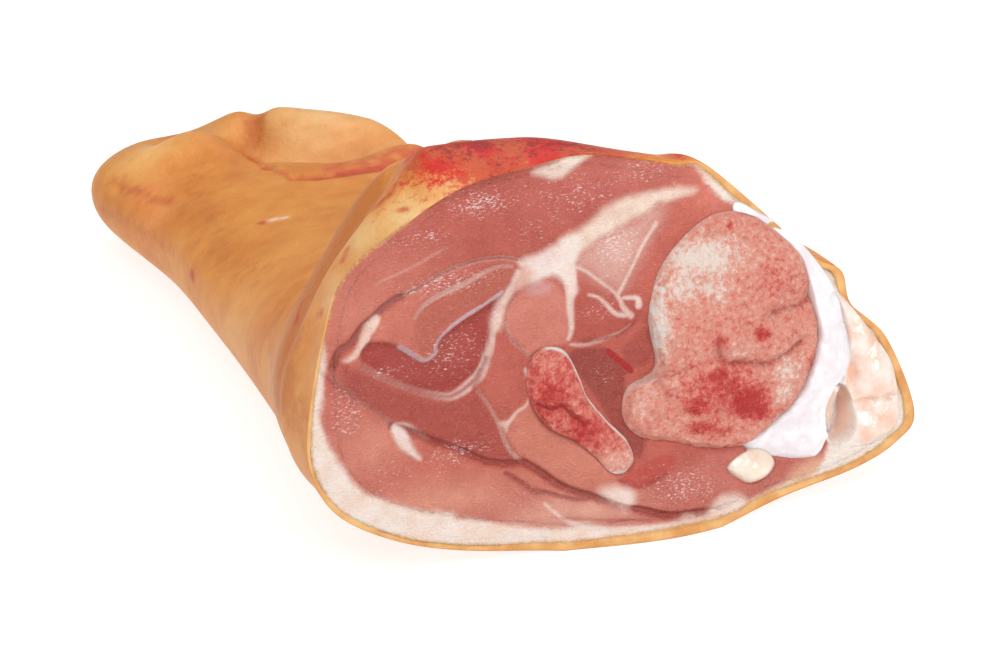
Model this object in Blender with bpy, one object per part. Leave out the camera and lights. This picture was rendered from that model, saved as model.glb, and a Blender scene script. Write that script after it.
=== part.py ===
"""A raw pork leg: the knuckle end, sawn through below the knee and lying on its side.

The sawn face looks along -Y and leans back. The leg narrows along +Y to a rounded heel,
with the folded stump of the foot beside it. Sizes below are in millimetres and MM turns
them into metres. The origin is the middle of the footprint, on the surface it lies on.
"""
import bpy
import bmesh
import numpy as np
from mathutils import Vector
from mathutils.geometry import delaunay_2d_cdt

MM = 0.001
GAP = 0.3

LEG_LENGTH = 240.0
FACE_Y = -125.0
FACE_LEAN = np.tan(np.radians(10.0))
FACE_BLEND = 46.0
HEEL_ROUNDING = 34.0
HEEL_POWER = 2.4
LIP_REACH = 6.0
LIP_CENTRE = 20.0
LIP_SPREAD = 30.0
LIP_HEIGHT = 14.0
LIP_FADE = 40.0

# The sawn face's outline in X and Z, anticlockwise from the tip of the rind at the knee.
FACE_OUTLINE = [
    (88, 18), (80.5, 38.5), (70.5, 49), (68, 58), (59, 64), (33, 89), (23, 92), (0.5, 96.5),
    (-17.5, 93.5), (-49, 84), (-64, 76), (-70.5, 62), (-75.5, 43), (-76, 31), (-70.5, 19.5),
    (-57, 10.5), (-39.5, 4.5), (-16, 0.5), (8, -2.5), (45, 2.5), (69, 5.5), (82.5, 10.5),
]

# Sections of the leg behind the face: distance, centre X and Z, reach left, right, up and
# down, roundness left and right, lean of the section and its skew across the leg.
SECTIONS = [
    (0, 5.0, 47.0, 82.0, 83.0, 50.0, 49.0, 2.2, 2.2, FACE_LEAN, 0.00),
    (18, 0.5, 43.0, 79.5, 68.0, 38.0, 48.0, 2.2, 2.0, 0.15, 0.05),
    (42, -10.0, 39.0, 66.5, 66.0, 33.0, 44.5, 2.2, 2.0, 0.10, 0.30),
    (58, -15.0, 39.0, 61.5, 62.0, 36.0, 41.0, 2.1, 2.0, 0.05, 0.45),
    (80, -18.5, 33.0, 53.0, 56.0, 25.5, 36.0, 2.1, 2.1, 0.00, 0.50),
    (105, -23.5, 27.0, 44.5, 48.0, 22.0, 30.0, 2.1, 2.4, 0.00, 0.40),
    (135, -28.0, 24.0, 39.0, 48.0, 18.5, 26.0, 2.1, 2.7, 0.00, 0.20),
    (170, -26.0, 21.5, 41.5, 51.0, 18.5, 24.5, 2.1, 3.0, 0.00, 0.00),
    (205, -30.0, 19.5, 43.5, 50.0, 16.5, 22.0, 2.1, 3.0, 0.00, -0.17),
    (LEG_LENGTH, -36.0, 19.0, 41.0, 41.5, 18.5, 21.0, 2.2, 2.8, 0.00, -0.24),
]

# Folds of the skin seen from above: height (negative is a crease), half width, line in X, Y.
FOLDS = [
    (19.5, 19.5, [(-39, -84), (-34, -86), (-19, -78)]),
    (8.5, 14.0, [(-43, 85), (-23, 92), (-10, 83), (8, 75), (15, 56)]),
    (-6.5, 8.0, [(-46, 98), (-36, 88), (-24, 73), (-8, 62), (8, 60), (24, 58)]),
    (-3.0, 4.5, [(-17, 104), (-24, 90), (-27, 82)]),
    (-1.5, 4.0, [(-68, 84), (-58, 74), (-48, 72)]),
]
FOLD_START = 14.0
FOLD_FULL = 30.0

# Fat under the rind, measured towards the middle of the face: the rind's own depth and
# lobes of fat as depth, direction in degrees (0 is +X, 90 is up) and spread in degrees.
RIND_DEPTH = 2.4
FAT_LOBES = [(8.4, -150.0, 33.0), (2.6, -80.0, 40.0), (3.0, -12.0, 35.0), (1.5, 50.0, 30.0)]
SHANK_FAT = 5.0
SHANK_FAT_FROM = 45.0
UNDER_FLOOR = 4.0

# Pieces in the sawn face. outline is in X and Z, anticlockwise. path gives distance behind
# the face, shift in X and Z, scale, and how far the section has turned into an oval of the
# half sizes in round. crown is how far the sawn end stands proud in its middle and at its
# rim, and relief is how rough it is.
SHIN = {
    "name": "shin_bone",
    "outline": [
        (60, 51), (57, 63), (50, 71), (42, 77), (33, 78), (25, 74), (17, 66), (14, 55),
        (15, 42), (7, 38), (5, 31), (9, 25), (18, 22), (28, 19), (38, 18), (47, 22),
        (54, 27), (59, 36), (61, 44),
    ],
    "path": [
        (0, 0, 0, 1.0, 0.0), (14, -3, 0, 0.97, 0.0), (34, -13, -2, 0.78, 0.3),
        (60, -26, -5, 0.60, 0.8), (85, -36, -12, 0.5, 1.0), (120, -48, -20, 0.5, 1.0),
        (165, -56, -27, 0.5, 1.0), (198, -58, -29, 0.5, 1.0),
    ],
    "round": (12.5, 8.0),
    "crown": (7.0, 2.5),
    "relief": 1.2,
}
CALF = {
    "name": "calf_bone",
    "outline": [
        (-18, 49), (-19.5, 43), (-18, 37), (-14, 31), (-8, 27), (-3, 22), (1, 17), (5, 16),
        (8, 19), (6, 25), (1, 31), (-4, 38), (-6, 44), (-9, 50), (-14, 51.5),
    ],
    "path": [
        (0, 0, 0, 1.0, 0.0), (18, -5, 0, 0.85, 0.2), (45, -16, -3, 0.6, 0.8),
        (80, -29, -8, 0.5, 1.0), (125, -40, -13, 0.5, 1.0), (160, -46, -15, 0.5, 1.0),
    ],
    "round": (3.5, 5.0),
    "crown": (3.5, 1.5),
    "relief": 0.6,
}
CARTILAGE = {
    "name": "knee_cartilage",
    "outline": [
        (45, 55), (40, 30), (37, 18), (44, 14), (51, 11), (59, 11), (63, 17), (65, 24),
        (68, 32), (70, 40), (68, 49), (63, 59), (54, 70), (46, 76), (38, 79),
    ],
    "path": [(0, 0, 0, 1.0, 0.0), (12, -3, 0, 0.94, 0.0), (24, -8, -1, 0.8, 0.0)],
    "crown": (3.0, 0.5),
    "clear_of": ("shin_bone", "tendon"),
    "cavity": True,
}
FAT_PAD = {
    "name": "knee_fat_pad",
    "outline": [
        (59, 47), (59, 30), (62, 14), (69, 11), (77, 12), (83, 17), (83, 25), (81, 33),
        (76, 41), (70, 49), (63, 57),
    ],
    "path": [(0, 0, 0, 1.0, 0.0), (10, -3, 0, 0.94, 0.0), (20, -8, 0, 0.84, 0.0)],
    "crown": (1.5, 0.2),
    "clear_of": ("knee_cartilage", "shin_bone"),
    "cavity": True,
}
TENDON = {
    "name": "tendon",
    "outline": [(38, 7.5), (44, 8.5), (47, 12), (43, 16), (37, 16.5), (32, 13)],
    "path": [(0, 0, 0, 1.0, 0.0), (16, -3, 0, 0.9, 0.0), (34, -9, 0, 0.6, 0.0)],
    "crown": (4.5, 1.0),
}
PIECES = [SHIN, CALF, CARTILAGE, FAT_PAD, TENDON]

# The open joint cavity between the cartilage and the fat pad.
CAVITY_CENTRE = (66.0, 20.5)
CAVITY_RADII = (4.2, 8.5)
CAVITY_DEPTH = 11.0

# Seams between the muscles in the face, in X and Z, and how deep and wide they sink.
SEAMS = [
    [(-20, 74), (-30.5, 75), (-41.5, 72.5), (-48.5, 70.5), (-55, 66), (-60.5, 58.5)],
    [(-60.5, 58.5), (-56.5, 59.5), (-49.5, 56.5), (-43.5, 53.5), (-40, 58), (-29, 63), (-24, 64)],
    [(-60.5, 58.5), (-61, 54), (-56, 49.5), (-48.5, 46), (-39, 43), (-30.5, 47), (-24, 56.5)],
    [(-60.5, 58.5), (-67, 56), (-68, 53), (-67, 50), (-60, 44), (-53.5, 38.5)],
    [(-53.5, 38.5), (-45, 33), (-36, 27.5), (-21.5, 22.5), (-16, 19), (-4.5, 11.5), (3.5, 8.5)],
    [(-30.5, 47), (-29, 38.5), (-25, 29.5), (-21.5, 22.5)],
    [(-50, 29.5), (-42.5, 24.5), (-32.5, 17.5), (-25, 15.5), (-12, 7)],
    [(-24, 64), (-19.5, 67), (-14, 68), (-9, 65.5), (-7, 61), (-7, 53), (-15, 51.5), (-20.5, 53),
     (-24, 56.5), (-24, 64)],
    [(-24, 64), (-21, 70), (-20, 74), (-12, 78), (-2.5, 81), (8, 83.5), (19, 85), (34, 84)],
    [(-12, 78), (-10, 71.5), (-9, 65.5)],
    [(-7, 53), (2.5, 49), (8, 42)],
    [(1.5, 66), (6, 60.5), (9.5, 56)],
]
SEAM_DEPTH = 1.6
SEAM_HALF_WIDTH = 4.0
SWELL_HEIGHT = 0.6
SWELL_LENGTH = 26.0

# The waves that roughen sawn bone: share, length in millimetres, and shifts in X and Z.
SPONGE_WAVES = [(0.6, 21.0, 0.5, 1.3), (0.4, 8.0, 1.9, 0.4)]

# The block whose front is the sawn face: its limits in X and Z, and its back.
BLOCK_LIMITS = (-90.0, 100.0, -10.0, 110.0)
BLOCK_BACK = 160.0

# How finely the surfaces are divided.
SKIN_AROUND = 60
SKIN_RINGS = 34
CORE_AROUND = 36
CORE_RINGS = 16
ROD_AROUND = 24
ROD_RING_STEP = 18.0
HEEL_RING_SHARE = 1 / 3
CROWN_SHARES = (0.3, 0.65, 0.94)
FACE_SPACING = 6.0
FACE_ROW_STEP = 5.2
FACE_MARGIN = 1.0
SEAM_STEPS = 2
SEAM_CLEARANCE = 0.6
OUTLINE_STEPS = 10
CAVITY_SEGMENTS = 16
CAVITY_BANDS = 10
LEAD = 20.0
MERGE_DISTANCE = 1e-7
CDT_EPSILON = 1e-4

COLOURS = {
    "rind_and_fat": (0.80, 0.50, 0.22),
    "meat": (0.66, 0.22, 0.20),
    "shin_bone": (0.80, 0.42, 0.36),
    "calf_bone": (0.80, 0.46, 0.38),
    "knee_cartilage": (0.86, 0.88, 0.92),
    "knee_fat_pad": (0.90, 0.82, 0.72),
    "tendon": (0.92, 0.88, 0.80),
}
ROUGHNESS = 0.4


def smooth(x):
    """Ease from 0 to 1."""
    x = np.clip(x, 0.0, 1.0)
    return x * x * (3.0 - 2.0 * x)


def curve_through(points, closed, steps):
    """Points of a smooth curve through the given ones."""
    points = np.array(points, float)
    count = len(points)
    spans = count if closed else count - 1
    result = []
    for i in range(spans):
        if closed:
            near = [points[(i + k) % count] for k in (-1, 0, 1, 2)]
        else:
            near = [points[min(max(i + k, 0), count - 1)] for k in (-1, 0, 1, 2)]
        before, start, end, after = near
        for s in np.arange(steps) / steps:
            bend = 2 * before - 5 * start + 4 * end - after
            twist = 3 * start - before - 3 * end + after
            result.append(0.5 * (2 * start + (end - before) * s + bend * s ** 2 + twist * s ** 3))
    if not closed:
        result.append(points[-1])
    return np.array(result)


def table_at(table, distance):
    """A row of a table of sections, read between its rows on a smooth curve."""
    table = np.array(table, float)
    places = table[:, 0]
    values = table[:, 1:]
    slopes = np.gradient(values, places, axis=0)
    i = int(np.clip(np.searchsorted(places, distance) - 1, 0, len(places) - 2))
    step = places[i + 1] - places[i]
    s = (distance - places[i]) / step
    start = (2 * s ** 3 - 3 * s ** 2 + 1) * values[i]
    end = (3 * s ** 2 - 2 * s ** 3) * values[i + 1]
    leave = (s ** 3 - 2 * s ** 2 + s) * step * slopes[i]
    arrive = (s ** 3 - s ** 2) * step * slopes[i + 1]
    return start + end + leave + arrive


def radius_at(outline, centre, angles):
    """How far the outline lies from the centre in each direction."""
    arms = outline - np.array(centre)
    directions = np.arctan2(arms[:, 1], arms[:, 0])
    lengths = np.hypot(arms[:, 0], arms[:, 1])
    order = np.argsort(directions)
    directions = directions[order]
    turns = np.concatenate([directions - 2 * np.pi, directions, directions + 2 * np.pi])
    return np.interp(angles, turns, np.tile(lengths[order], 3))


def distance_to_line(x, y, line):
    """Distance in plan from each point to the nearest place on a line of points."""
    nearest = np.full(np.shape(x), np.inf)
    for (x0, y0), (x1, y1) in zip(line[:-1], line[1:]):
        run = np.array([x1 - x0, y1 - y0], float)
        along = ((x - x0) * run[0] + (y - y0) * run[1]) / (run @ run)
        along = np.clip(along, 0.0, 1.0)
        gap = np.hypot(x - x0 - along * run[0], y - y0 - along * run[1])
        nearest = np.minimum(nearest, gap)
    return nearest


def fat_depth(angles, distance):
    """Depth of rind and fat in each direction, at a distance behind the face."""
    depth = np.full(np.shape(angles), RIND_DEPTH)
    for lobe, direction, spread in FAT_LOBES:
        turn = (np.degrees(angles) - direction + 180.0) % 360.0 - 180.0
        depth = depth + lobe * np.exp(-(turn / spread) ** 2)
    shank = smooth(distance / SHANK_FAT_FROM)
    return depth + (SHANK_FAT - depth) * shank


def leg_ring(distance, around, under_fat):
    """One ring of the leg, of its skin or of what lies under the fat."""
    row = table_at(SECTIONS, distance)
    centre_x, centre_z, left, right, up, down, round_left, round_right, lean, skew = row
    angles = np.linspace(0.0, 2 * np.pi, around, endpoint=False)
    cosine = np.cos(angles)
    sine = np.sin(angles)
    power = 2.0 / np.where(cosine > 0, round_right, round_left)
    x = np.where(cosine > 0, right, left) * np.sign(cosine) * np.abs(cosine) ** power
    z = np.where(sine > 0, up, down) * np.sign(sine) * np.abs(sine) ** power
    radius = np.hypot(x, z)
    directions = np.arctan2(z, x)
    outline = curve_through(FACE_OUTLINE, True, OUTLINE_STEPS)
    at_face = radius_at(outline, (centre_x, centre_z), directions)
    reach = at_face + (radius - at_face) * smooth(distance / FACE_BLEND)
    past = max(distance - LEG_LENGTH + HEEL_ROUNDING, 0.0) / HEEL_ROUNDING
    reach = reach * max(1.0 - past ** HEEL_POWER, 0.0) ** (1.0 / HEEL_POWER)
    if under_fat:
        reach = reach - fat_depth(directions, distance)
    x = x * reach / radius
    z = z * reach / radius
    height = centre_z + z
    y = FACE_Y + distance + lean * height + skew * x
    return np.stack([centre_x + x, y, height], axis=-1)


def fold_skin(points, floor):
    """Raise the folds, sink the creases, push the lower lip out and flatten the underside."""
    x, y, z = points[:, 0], points[:, 1], points[:, 2]
    upper = smooth((z - FOLD_START) / (FOLD_FULL - FOLD_START))
    lift = np.zeros_like(z)
    for height, half_width, line in FOLDS:
        gap = distance_to_line(x, y, line)
        lift = lift + height * np.exp(-(gap / half_width) ** 2)
    behind = y - FACE_Y - FACE_LEAN * z
    across = np.exp(-((x - LIP_CENTRE) / LIP_SPREAD) ** 2)
    lip = LIP_REACH * across * np.exp(-np.maximum(z, 0.0) / LIP_HEIGHT)
    y = y - lip * (1.0 - smooth(behind / LIP_FADE))
    return np.stack([x, y, np.maximum(z + lift * upper, floor)], axis=-1)


def leg_rings(around, count, under_fat):
    """Rings of the skin, or of what lies under the fat, from the face to the heel."""
    end = LEG_LENGTH - SHANK_FAT if under_fat else LEG_LENGTH
    floor = UNDER_FLOOR if under_fat else 0.0
    turned = int(count * HEEL_RING_SHARE)
    turn_start = end - HEEL_ROUNDING
    straight = np.linspace(0.0, turn_start, count - turned, endpoint=False)
    quarter = np.linspace(0.0, np.pi / 2, turned + 1)
    places = np.concatenate([straight, turn_start + HEEL_ROUNDING * np.sin(quarter)])
    if not under_fat:
        places = places[:-1]
    return [fold_skin(leg_ring(place, around, under_fat), floor) for place in places]


def even_outline(points, count):
    """A closed smooth curve through the points, divided evenly."""
    curve = curve_through(points, True, OUTLINE_STEPS)
    closed = np.vstack([curve, curve[:1]])
    steps = np.hypot(*np.diff(closed, axis=0).T)
    travelled = np.concatenate([[0.0], np.cumsum(steps)])
    wanted = np.linspace(0.0, travelled[-1], count, endpoint=False)
    return np.stack([np.interp(wanted, travelled, closed[:, k]) for k in (0, 1)], axis=-1)


def rod_rings(piece, grow):
    """Rings of a piece that starts in the face and runs back along its path."""
    outline = even_outline(piece["outline"], ROD_AROUND)
    centre = outline.mean(axis=0)
    arms = outline - centre
    angles = np.arctan2(arms[:, 1], arms[:, 0])
    half_width, half_height = piece.get("round", (0.0, 0.0))
    oval = np.stack([half_width * np.cos(angles), half_height * np.sin(angles)], axis=-1)
    path = piece["path"]
    length = path[-1][0]
    rings = []
    for distance in np.linspace(0.0, length, 2 + int(length / ROD_RING_STEP)):
        shift_x, shift_z, scale, turned = table_at(path, distance)
        turned = np.clip(turned, 0.0, 1.0)
        section = arms * scale * (1.0 - turned) + oval * turned
        along = np.roll(section, -1, axis=0) - np.roll(section, 1, axis=0)
        outward = np.stack([along[:, 1], -along[:, 0]], axis=-1)
        section = section + outward * grow / np.hypot(*outward.T)[:, None]
        x = centre[0] + shift_x + section[:, 0]
        z = centre[1] + shift_z + section[:, 1]
        lean = FACE_LEAN * (1.0 - smooth(distance / FACE_BLEND))
        rings.append(np.stack([x, FACE_Y + distance + lean * z, z], axis=-1))
    rings[-1] = rings[-1] + np.array([0.0, grow, 0.0])
    return rings


def sponge(x, z):
    """The uneven surface of sawn spongy bone, between -1 and 1."""
    height = np.zeros_like(x)
    for share, length, shift_x, shift_z in SPONGE_WAVES:
        turn = 2 * np.pi / length
        height = height + share * np.sin(turn * x + shift_x) * np.sin(turn * z + shift_z)
    return height


def crown_rings(rim_ring, piece):
    """Rings of a piece's sawn end, from near its middle to its rim."""
    middle, rim = piece["crown"]
    centre = rim_ring.mean(axis=0)
    rings = []
    for share in CROWN_SHARES:
        ring = centre + (rim_ring - centre) * share
        proud = rim + (middle - rim) * (1.0 - share ** 2)
        proud = proud + piece.get("relief", 0.0) * sponge(ring[:, 0], ring[:, 2])
        ring[:, 1] = ring[:, 1] - proud
        rings.append(ring)
    return rings


def seam_gap(x, z):
    """Distance in the face from a point to the nearest seam between muscles."""
    gaps = [distance_to_line(x, z, seam) for seam in SEAMS]
    return np.min(gaps, axis=0)


def meat_height(x, z):
    """How far the muscles stand proud of the face: they swell between their seams."""
    wave = np.sin(np.pi * x / SWELL_LENGTH) * np.cos(np.pi * z / SWELL_LENGTH)
    return SWELL_HEIGHT * wave - SEAM_DEPTH * np.exp(-(seam_gap(x, z) / SEAM_HALF_WIDTH) ** 2)


def new_collection(name):
    """A collection of its own in the scene."""
    collection = bpy.data.collections.new(name)
    bpy.context.scene.collection.children.link(collection)
    return collection


def food_material(name):
    """The plain material of a piece."""
    colour = (*COLOURS[name], 1.0)
    material = bpy.data.materials.new(name)
    material.use_nodes = True
    material.diffuse_color = colour
    shader = material.node_tree.nodes["Principled BSDF"]
    shader.inputs["Base Color"].default_value = colour
    shader.inputs["Roughness"].default_value = ROUGHNESS
    shader.inputs["Metallic"].default_value = 0.0
    return material


def mesh_object(name, vertices, faces, collection):
    """A mesh object from points in millimetres, placed about the origin."""
    shifted = (np.array(vertices) - ORIGIN) * MM
    mesh = bpy.data.meshes.new(name)
    mesh.from_pydata(shifted.tolist(), [], faces)
    edit = bmesh.new()
    edit.from_mesh(mesh)
    bmesh.ops.remove_doubles(edit, verts=edit.verts, dist=MERGE_DISTANCE)
    bmesh.ops.triangulate(edit, faces=edit.faces)
    bmesh.ops.recalc_face_normals(edit, faces=edit.faces)
    edit.to_mesh(mesh)
    edit.free()
    thing = bpy.data.objects.new(name, mesh)
    collection.objects.link(thing)
    return thing


def loft(name, rings, collection):
    """A solid through rings of points, closed at both ends by a fan of triangles."""
    around = len(rings[0])
    vertices = [point for ring in rings for point in ring]
    faces = []
    for low in range(0, around * (len(rings) - 1), around):
        for j in range(around):
            k = (j + 1) % around
            faces.append((low + j, low + k, low + around + k, low + around + j))
    for ring, first in ((rings[0], 0), (rings[-1], around * (len(rings) - 1))):
        tip = len(vertices)
        vertices.append(ring.mean(axis=0))
        faces += [(first + j, first + (j + 1) % around, tip) for j in range(around)]
    return mesh_object(name, vertices, faces, collection)


def finish_piece(thing):
    """Give a piece its own material and smooth its curved stretches."""
    thing.data.materials.append(food_material(thing.name))
    thing.data.shade_smooth()
    return thing


def make_cutter(thing):
    """Keep a cutter out of sight."""
    thing.hide_render = True
    thing.display_type = "WIRE"
    return thing


def cut(thing, tool, operation="DIFFERENCE"):
    """Cut a piece with a cutter, or keep only what lies inside it."""
    modifier = thing.modifiers.new(tool.name, "BOOLEAN")
    modifier.operation = operation
    modifier.solver = "EXACT"
    modifier.object = tool


def room_under_fat(name, gap, collection):
    """The room inside the fat, less a gap all round, carried forward past the sawn face."""
    rings = leg_rings(CORE_AROUND, CORE_RINGS, True)
    room = loft(name, [rings[0] - np.array([0.0, LEAD, 0.0])] + rings, collection)
    shrink = room.modifiers.new("gap", "DISPLACE")
    shrink.mid_level = 0.0
    shrink.strength = -gap * MM
    return room


def room_for(piece, collection):
    """The room that a piece needs in its neighbours, carried forward past the face."""
    rings = rod_rings(piece, GAP)
    front = rings[0] - np.array([0.0, LEAD, 0.0])
    return make_cutter(loft("room_for_" + piece["name"], [front] + rings, collection))


def joint_cavity(collection):
    """The hollow of the open knee joint, as an egg-shaped cutter."""
    x, z = CAVITY_CENTRE
    edit = bmesh.new()
    bmesh.ops.create_uvsphere(
        edit, u_segments=CAVITY_SEGMENTS, v_segments=CAVITY_BANDS, radius=1.0
    )
    points = np.array([vertex.co for vertex in edit.verts])
    faces = [[vertex.index for vertex in face.verts] for face in edit.faces]
    edit.free()
    middle = np.array([x, FACE_Y + FACE_LEAN * z, z])
    sizes = np.array([CAVITY_RADII[0], CAVITY_DEPTH, CAVITY_RADII[1]])
    return make_cutter(mesh_object("joint_cavity", middle + points * sizes, faces, collection))


def sawn_block(collection):
    """A block behind the sawn face, whose front carries the relief of the muscles."""
    low_x, high_x, low_z, high_z = BLOCK_LIMITS
    corners = [(low_x, low_z), (high_x, low_z), (high_x, high_z), (low_x, high_z)]
    places = list(corners)
    edges = [(0, 1), (1, 2), (2, 3), (3, 0)]
    for seam in SEAMS:
        line = curve_through(seam, False, SEAM_STEPS)
        edges += [(len(places) + i, len(places) + i + 1) for i in range(len(line) - 1)]
        places += [tuple(point) for point in line]
    on_seams = np.array(places)
    rows = np.arange(low_z + FACE_ROW_STEP, high_z - FACE_MARGIN, FACE_ROW_STEP)
    for row, z in enumerate(rows):
        start = low_x + FACE_SPACING / (1 + row % 2)
        for x in np.arange(start, high_x - FACE_MARGIN, FACE_SPACING):
            if np.hypot(*(on_seams - (x, z)).T).min() > FACE_SPACING * SEAM_CLEARANCE:
                places.append((x, z))
    flat = [Vector(place) for place in places]
    places, _, triangles, _, _, _ = delaunay_2d_cdt(flat, edges, [], 0, CDT_EPSILON)
    vertices = []
    for x, z in places:
        vertices.append((x, FACE_Y + FACE_LEAN * z - meat_height(x, z), z))
    faces = [tuple(triangle) for triangle in triangles]
    spots = np.array([tuple(place) for place in places])
    front = [int(np.hypot(*(spots - corner).T).argmin()) for corner in corners]
    back = [len(vertices) + k for k in range(len(corners))]
    vertices += [(x, BLOCK_BACK, z) for x, z in corners]
    for k in range(len(corners)):
        m = (k + 1) % len(corners)
        faces.append((front[k], front[m], back[m], back[k]))
    faces.append(tuple(back))
    return make_cutter(mesh_object("sawn_block", vertices, faces, collection))


def footprint_middle():
    """The middle of the skin's footprint, on the surface that the leg lies on."""
    skin = np.vstack(leg_rings(SKIN_AROUND, SKIN_RINGS, False))
    low = skin.min(axis=0)
    high = skin.max(axis=0)
    return np.array([(low[0] + high[0]) / 2, (low[1] + high[1]) / 2, 0.0])


def build():
    """Build the leg: its jacket, its meat and the pieces in the sawn face."""
    for thing in list(bpy.data.objects):
        bpy.data.objects.remove(thing, do_unlink=True)
    leg = new_collection("pork_leg")
    cutters = new_collection("cutters")

    under_rind = make_cutter(room_under_fat("room_under_rind", 0.0, cutters))
    clear_of_rind = make_cutter(room_under_fat("room_clear_of_rind", GAP, cutters))
    cavity = joint_cavity(cutters)
    rooms = {piece["name"]: room_for(piece, cutters) for piece in PIECES}

    jacket = finish_piece(loft("rind_and_fat", leg_rings(SKIN_AROUND, SKIN_RINGS, False), leg))
    cut(jacket, under_rind)

    meat = finish_piece(room_under_fat("meat", GAP, leg))
    cut(meat, sawn_block(cutters), "INTERSECT")
    for room in rooms.values():
        cut(meat, room)

    for piece in PIECES:
        rings = rod_rings(piece, 0.0)
        thing = finish_piece(loft(piece["name"], crown_rings(rings[0], piece) + rings, leg))
        cut(thing, clear_of_rind, "INTERSECT")
        for name in piece.get("clear_of", ()):
            cut(thing, rooms[name])
        if piece.get("cavity"):
            cut(thing, cavity)


ORIGIN = footprint_middle()
build()
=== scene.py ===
"""Looks for the raw pork leg: skin, fat, sawn meat, bones and joint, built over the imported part.

Shapes are in the part's design millimetres, the same ones that its solids are made from, and
place() turns them into the frame's metres.
"""
import bpy
import numpy as np
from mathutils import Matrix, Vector


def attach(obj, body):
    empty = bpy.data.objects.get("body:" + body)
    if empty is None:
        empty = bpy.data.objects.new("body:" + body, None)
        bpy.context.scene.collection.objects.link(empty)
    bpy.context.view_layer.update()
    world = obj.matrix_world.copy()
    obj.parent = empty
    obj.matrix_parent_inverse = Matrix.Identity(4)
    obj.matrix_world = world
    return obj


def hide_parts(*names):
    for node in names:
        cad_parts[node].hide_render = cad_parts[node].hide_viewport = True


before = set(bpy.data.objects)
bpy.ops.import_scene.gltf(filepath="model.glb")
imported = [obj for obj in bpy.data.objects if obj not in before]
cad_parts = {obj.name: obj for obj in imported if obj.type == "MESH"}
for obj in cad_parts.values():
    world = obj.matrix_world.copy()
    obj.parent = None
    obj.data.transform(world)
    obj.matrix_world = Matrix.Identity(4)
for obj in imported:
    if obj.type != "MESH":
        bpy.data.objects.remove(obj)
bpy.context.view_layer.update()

MM = 0.001
ORIGIN = np.array([5.2938, -6.9696, 0.0])
SEED = 7

LEG_LENGTH = 240.0
FACE_Y = -125.0
FACE_LEAN = np.tan(np.radians(10.0))
FACE_BLEND = 46.0
HEEL_ROUNDING = 34.0
HEEL_POWER = 2.4
LIP_REACH = 6.0
LIP_CENTRE = 20.0
LIP_SPREAD = 30.0
LIP_HEIGHT = 14.0
LIP_FADE = 40.0
FACE_OUTLINE = [
    (88, 18), (80.5, 38.5), (70.5, 49), (68, 58), (59, 64), (33, 89), (23, 92), (0.5, 96.5),
    (-17.5, 93.5), (-49, 84), (-64, 76), (-70.5, 62), (-75.5, 43), (-76, 31), (-70.5, 19.5),
    (-57, 10.5), (-39.5, 4.5), (-16, 0.5), (8, -2.5), (45, 2.5), (69, 5.5), (82.5, 10.5),
]
FACE_CENTRE = np.array([5.0, 47.0])
SECTIONS = [
    (0, 5, 47, 82, 83, 50, 49, 2.2, 2.2, FACE_LEAN, 0),
    (18, 0.5, 43, 79.5, 68, 38, 48, 2.2, 2, 0.15, 0.05),
    (42, -10, 39, 66.5, 66, 33, 44.5, 2.2, 2, 0.1, 0.3),
    (58, -15, 39, 61.5, 62, 36, 41, 2.1, 2, 0.05, 0.45),
    (80, -18.5, 33, 53, 56, 25.5, 36, 2.1, 2.1, 0, 0.5),
    (105, -23.5, 27, 44.5, 48, 22, 30, 2.1, 2.4, 0, 0.4),
    (135, -28, 24, 39, 48, 18.5, 26, 2.1, 2.7, 0, 0.2),
    (170, -26, 21.5, 41.5, 51, 18.5, 24.5, 2.1, 3, 0, 0),
    (205, -30, 19.5, 43.5, 50, 16.5, 22, 2.1, 3, 0, -0.17),
    (LEG_LENGTH, -36, 19, 41, 41.5, 18.5, 21, 2.2, 2.8, 0, -0.24),
]
FOLDS = [
    (19.5, 19.5, [(-39, -84), (-34, -86), (-19, -78)]),
    (8.5, 14, [(-43, 85), (-23, 92), (-10, 83), (8, 75), (15, 56)]),
    (-6.5, 8, [(-46, 98), (-36, 88), (-24, 73), (-8, 62), (8, 60), (24, 58)]),
    (-3, 4.5, [(-17, 104), (-24, 90), (-27, 82)]),
    (-1.5, 4, [(-68, 84), (-58, 74), (-48, 72)]),
]
FOLD_START = 14.0
FOLD_FULL = 30.0
RIND_DEPTH = 2.4
FAT_LOBES = [(8.4, -150, 33), (2.6, -80, 40), (3, -12, 35), (1.5, 50, 30)]

SHIN = {
    "name": "shin_bone",
    "outline": [
        (60, 51), (57, 63), (50, 71), (42, 77), (33, 78), (25, 74), (17, 66), (14, 55),
        (15, 42), (7, 38), (5, 31), (9, 25), (18, 22), (28, 19), (38, 18), (47, 22),
        (54, 27), (59, 36), (61, 44),
    ],
    "path": [
        (0, 0, 0, 1.0, 0.0), (14, -3, 0, 0.97, 0.0), (34, -13, -2, 0.78, 0.3),
        (60, -26, -5, 0.60, 0.8), (85, -36, -12, 0.5, 1.0), (120, -48, -20, 0.5, 1.0),
        (165, -56, -27, 0.5, 1.0), (198, -58, -29, 0.5, 1.0),
    ],
    "round": (12.5, 8),
    "crown": (7, 2.5),
}
CALF = {
    "name": "calf_bone",
    "outline": [
        (-18, 49), (-19.5, 43), (-18, 37), (-14, 31), (-8, 27), (-3, 22), (1, 17), (5, 16),
        (8, 19), (6, 25), (1, 31), (-4, 38), (-6, 44), (-9, 50), (-14, 51.5),
    ],
    "path": [
        (0, 0, 0, 1.0, 0.0), (18, -5, 0, 0.85, 0.2), (45, -16, -3, 0.6, 0.8),
        (80, -29, -8, 0.5, 1.0), (125, -40, -13, 0.5, 1.0), (160, -46, -15, 0.5, 1.0),
    ],
    "round": (3.5, 5),
    "crown": (3.5, 1.5),
}
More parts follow.
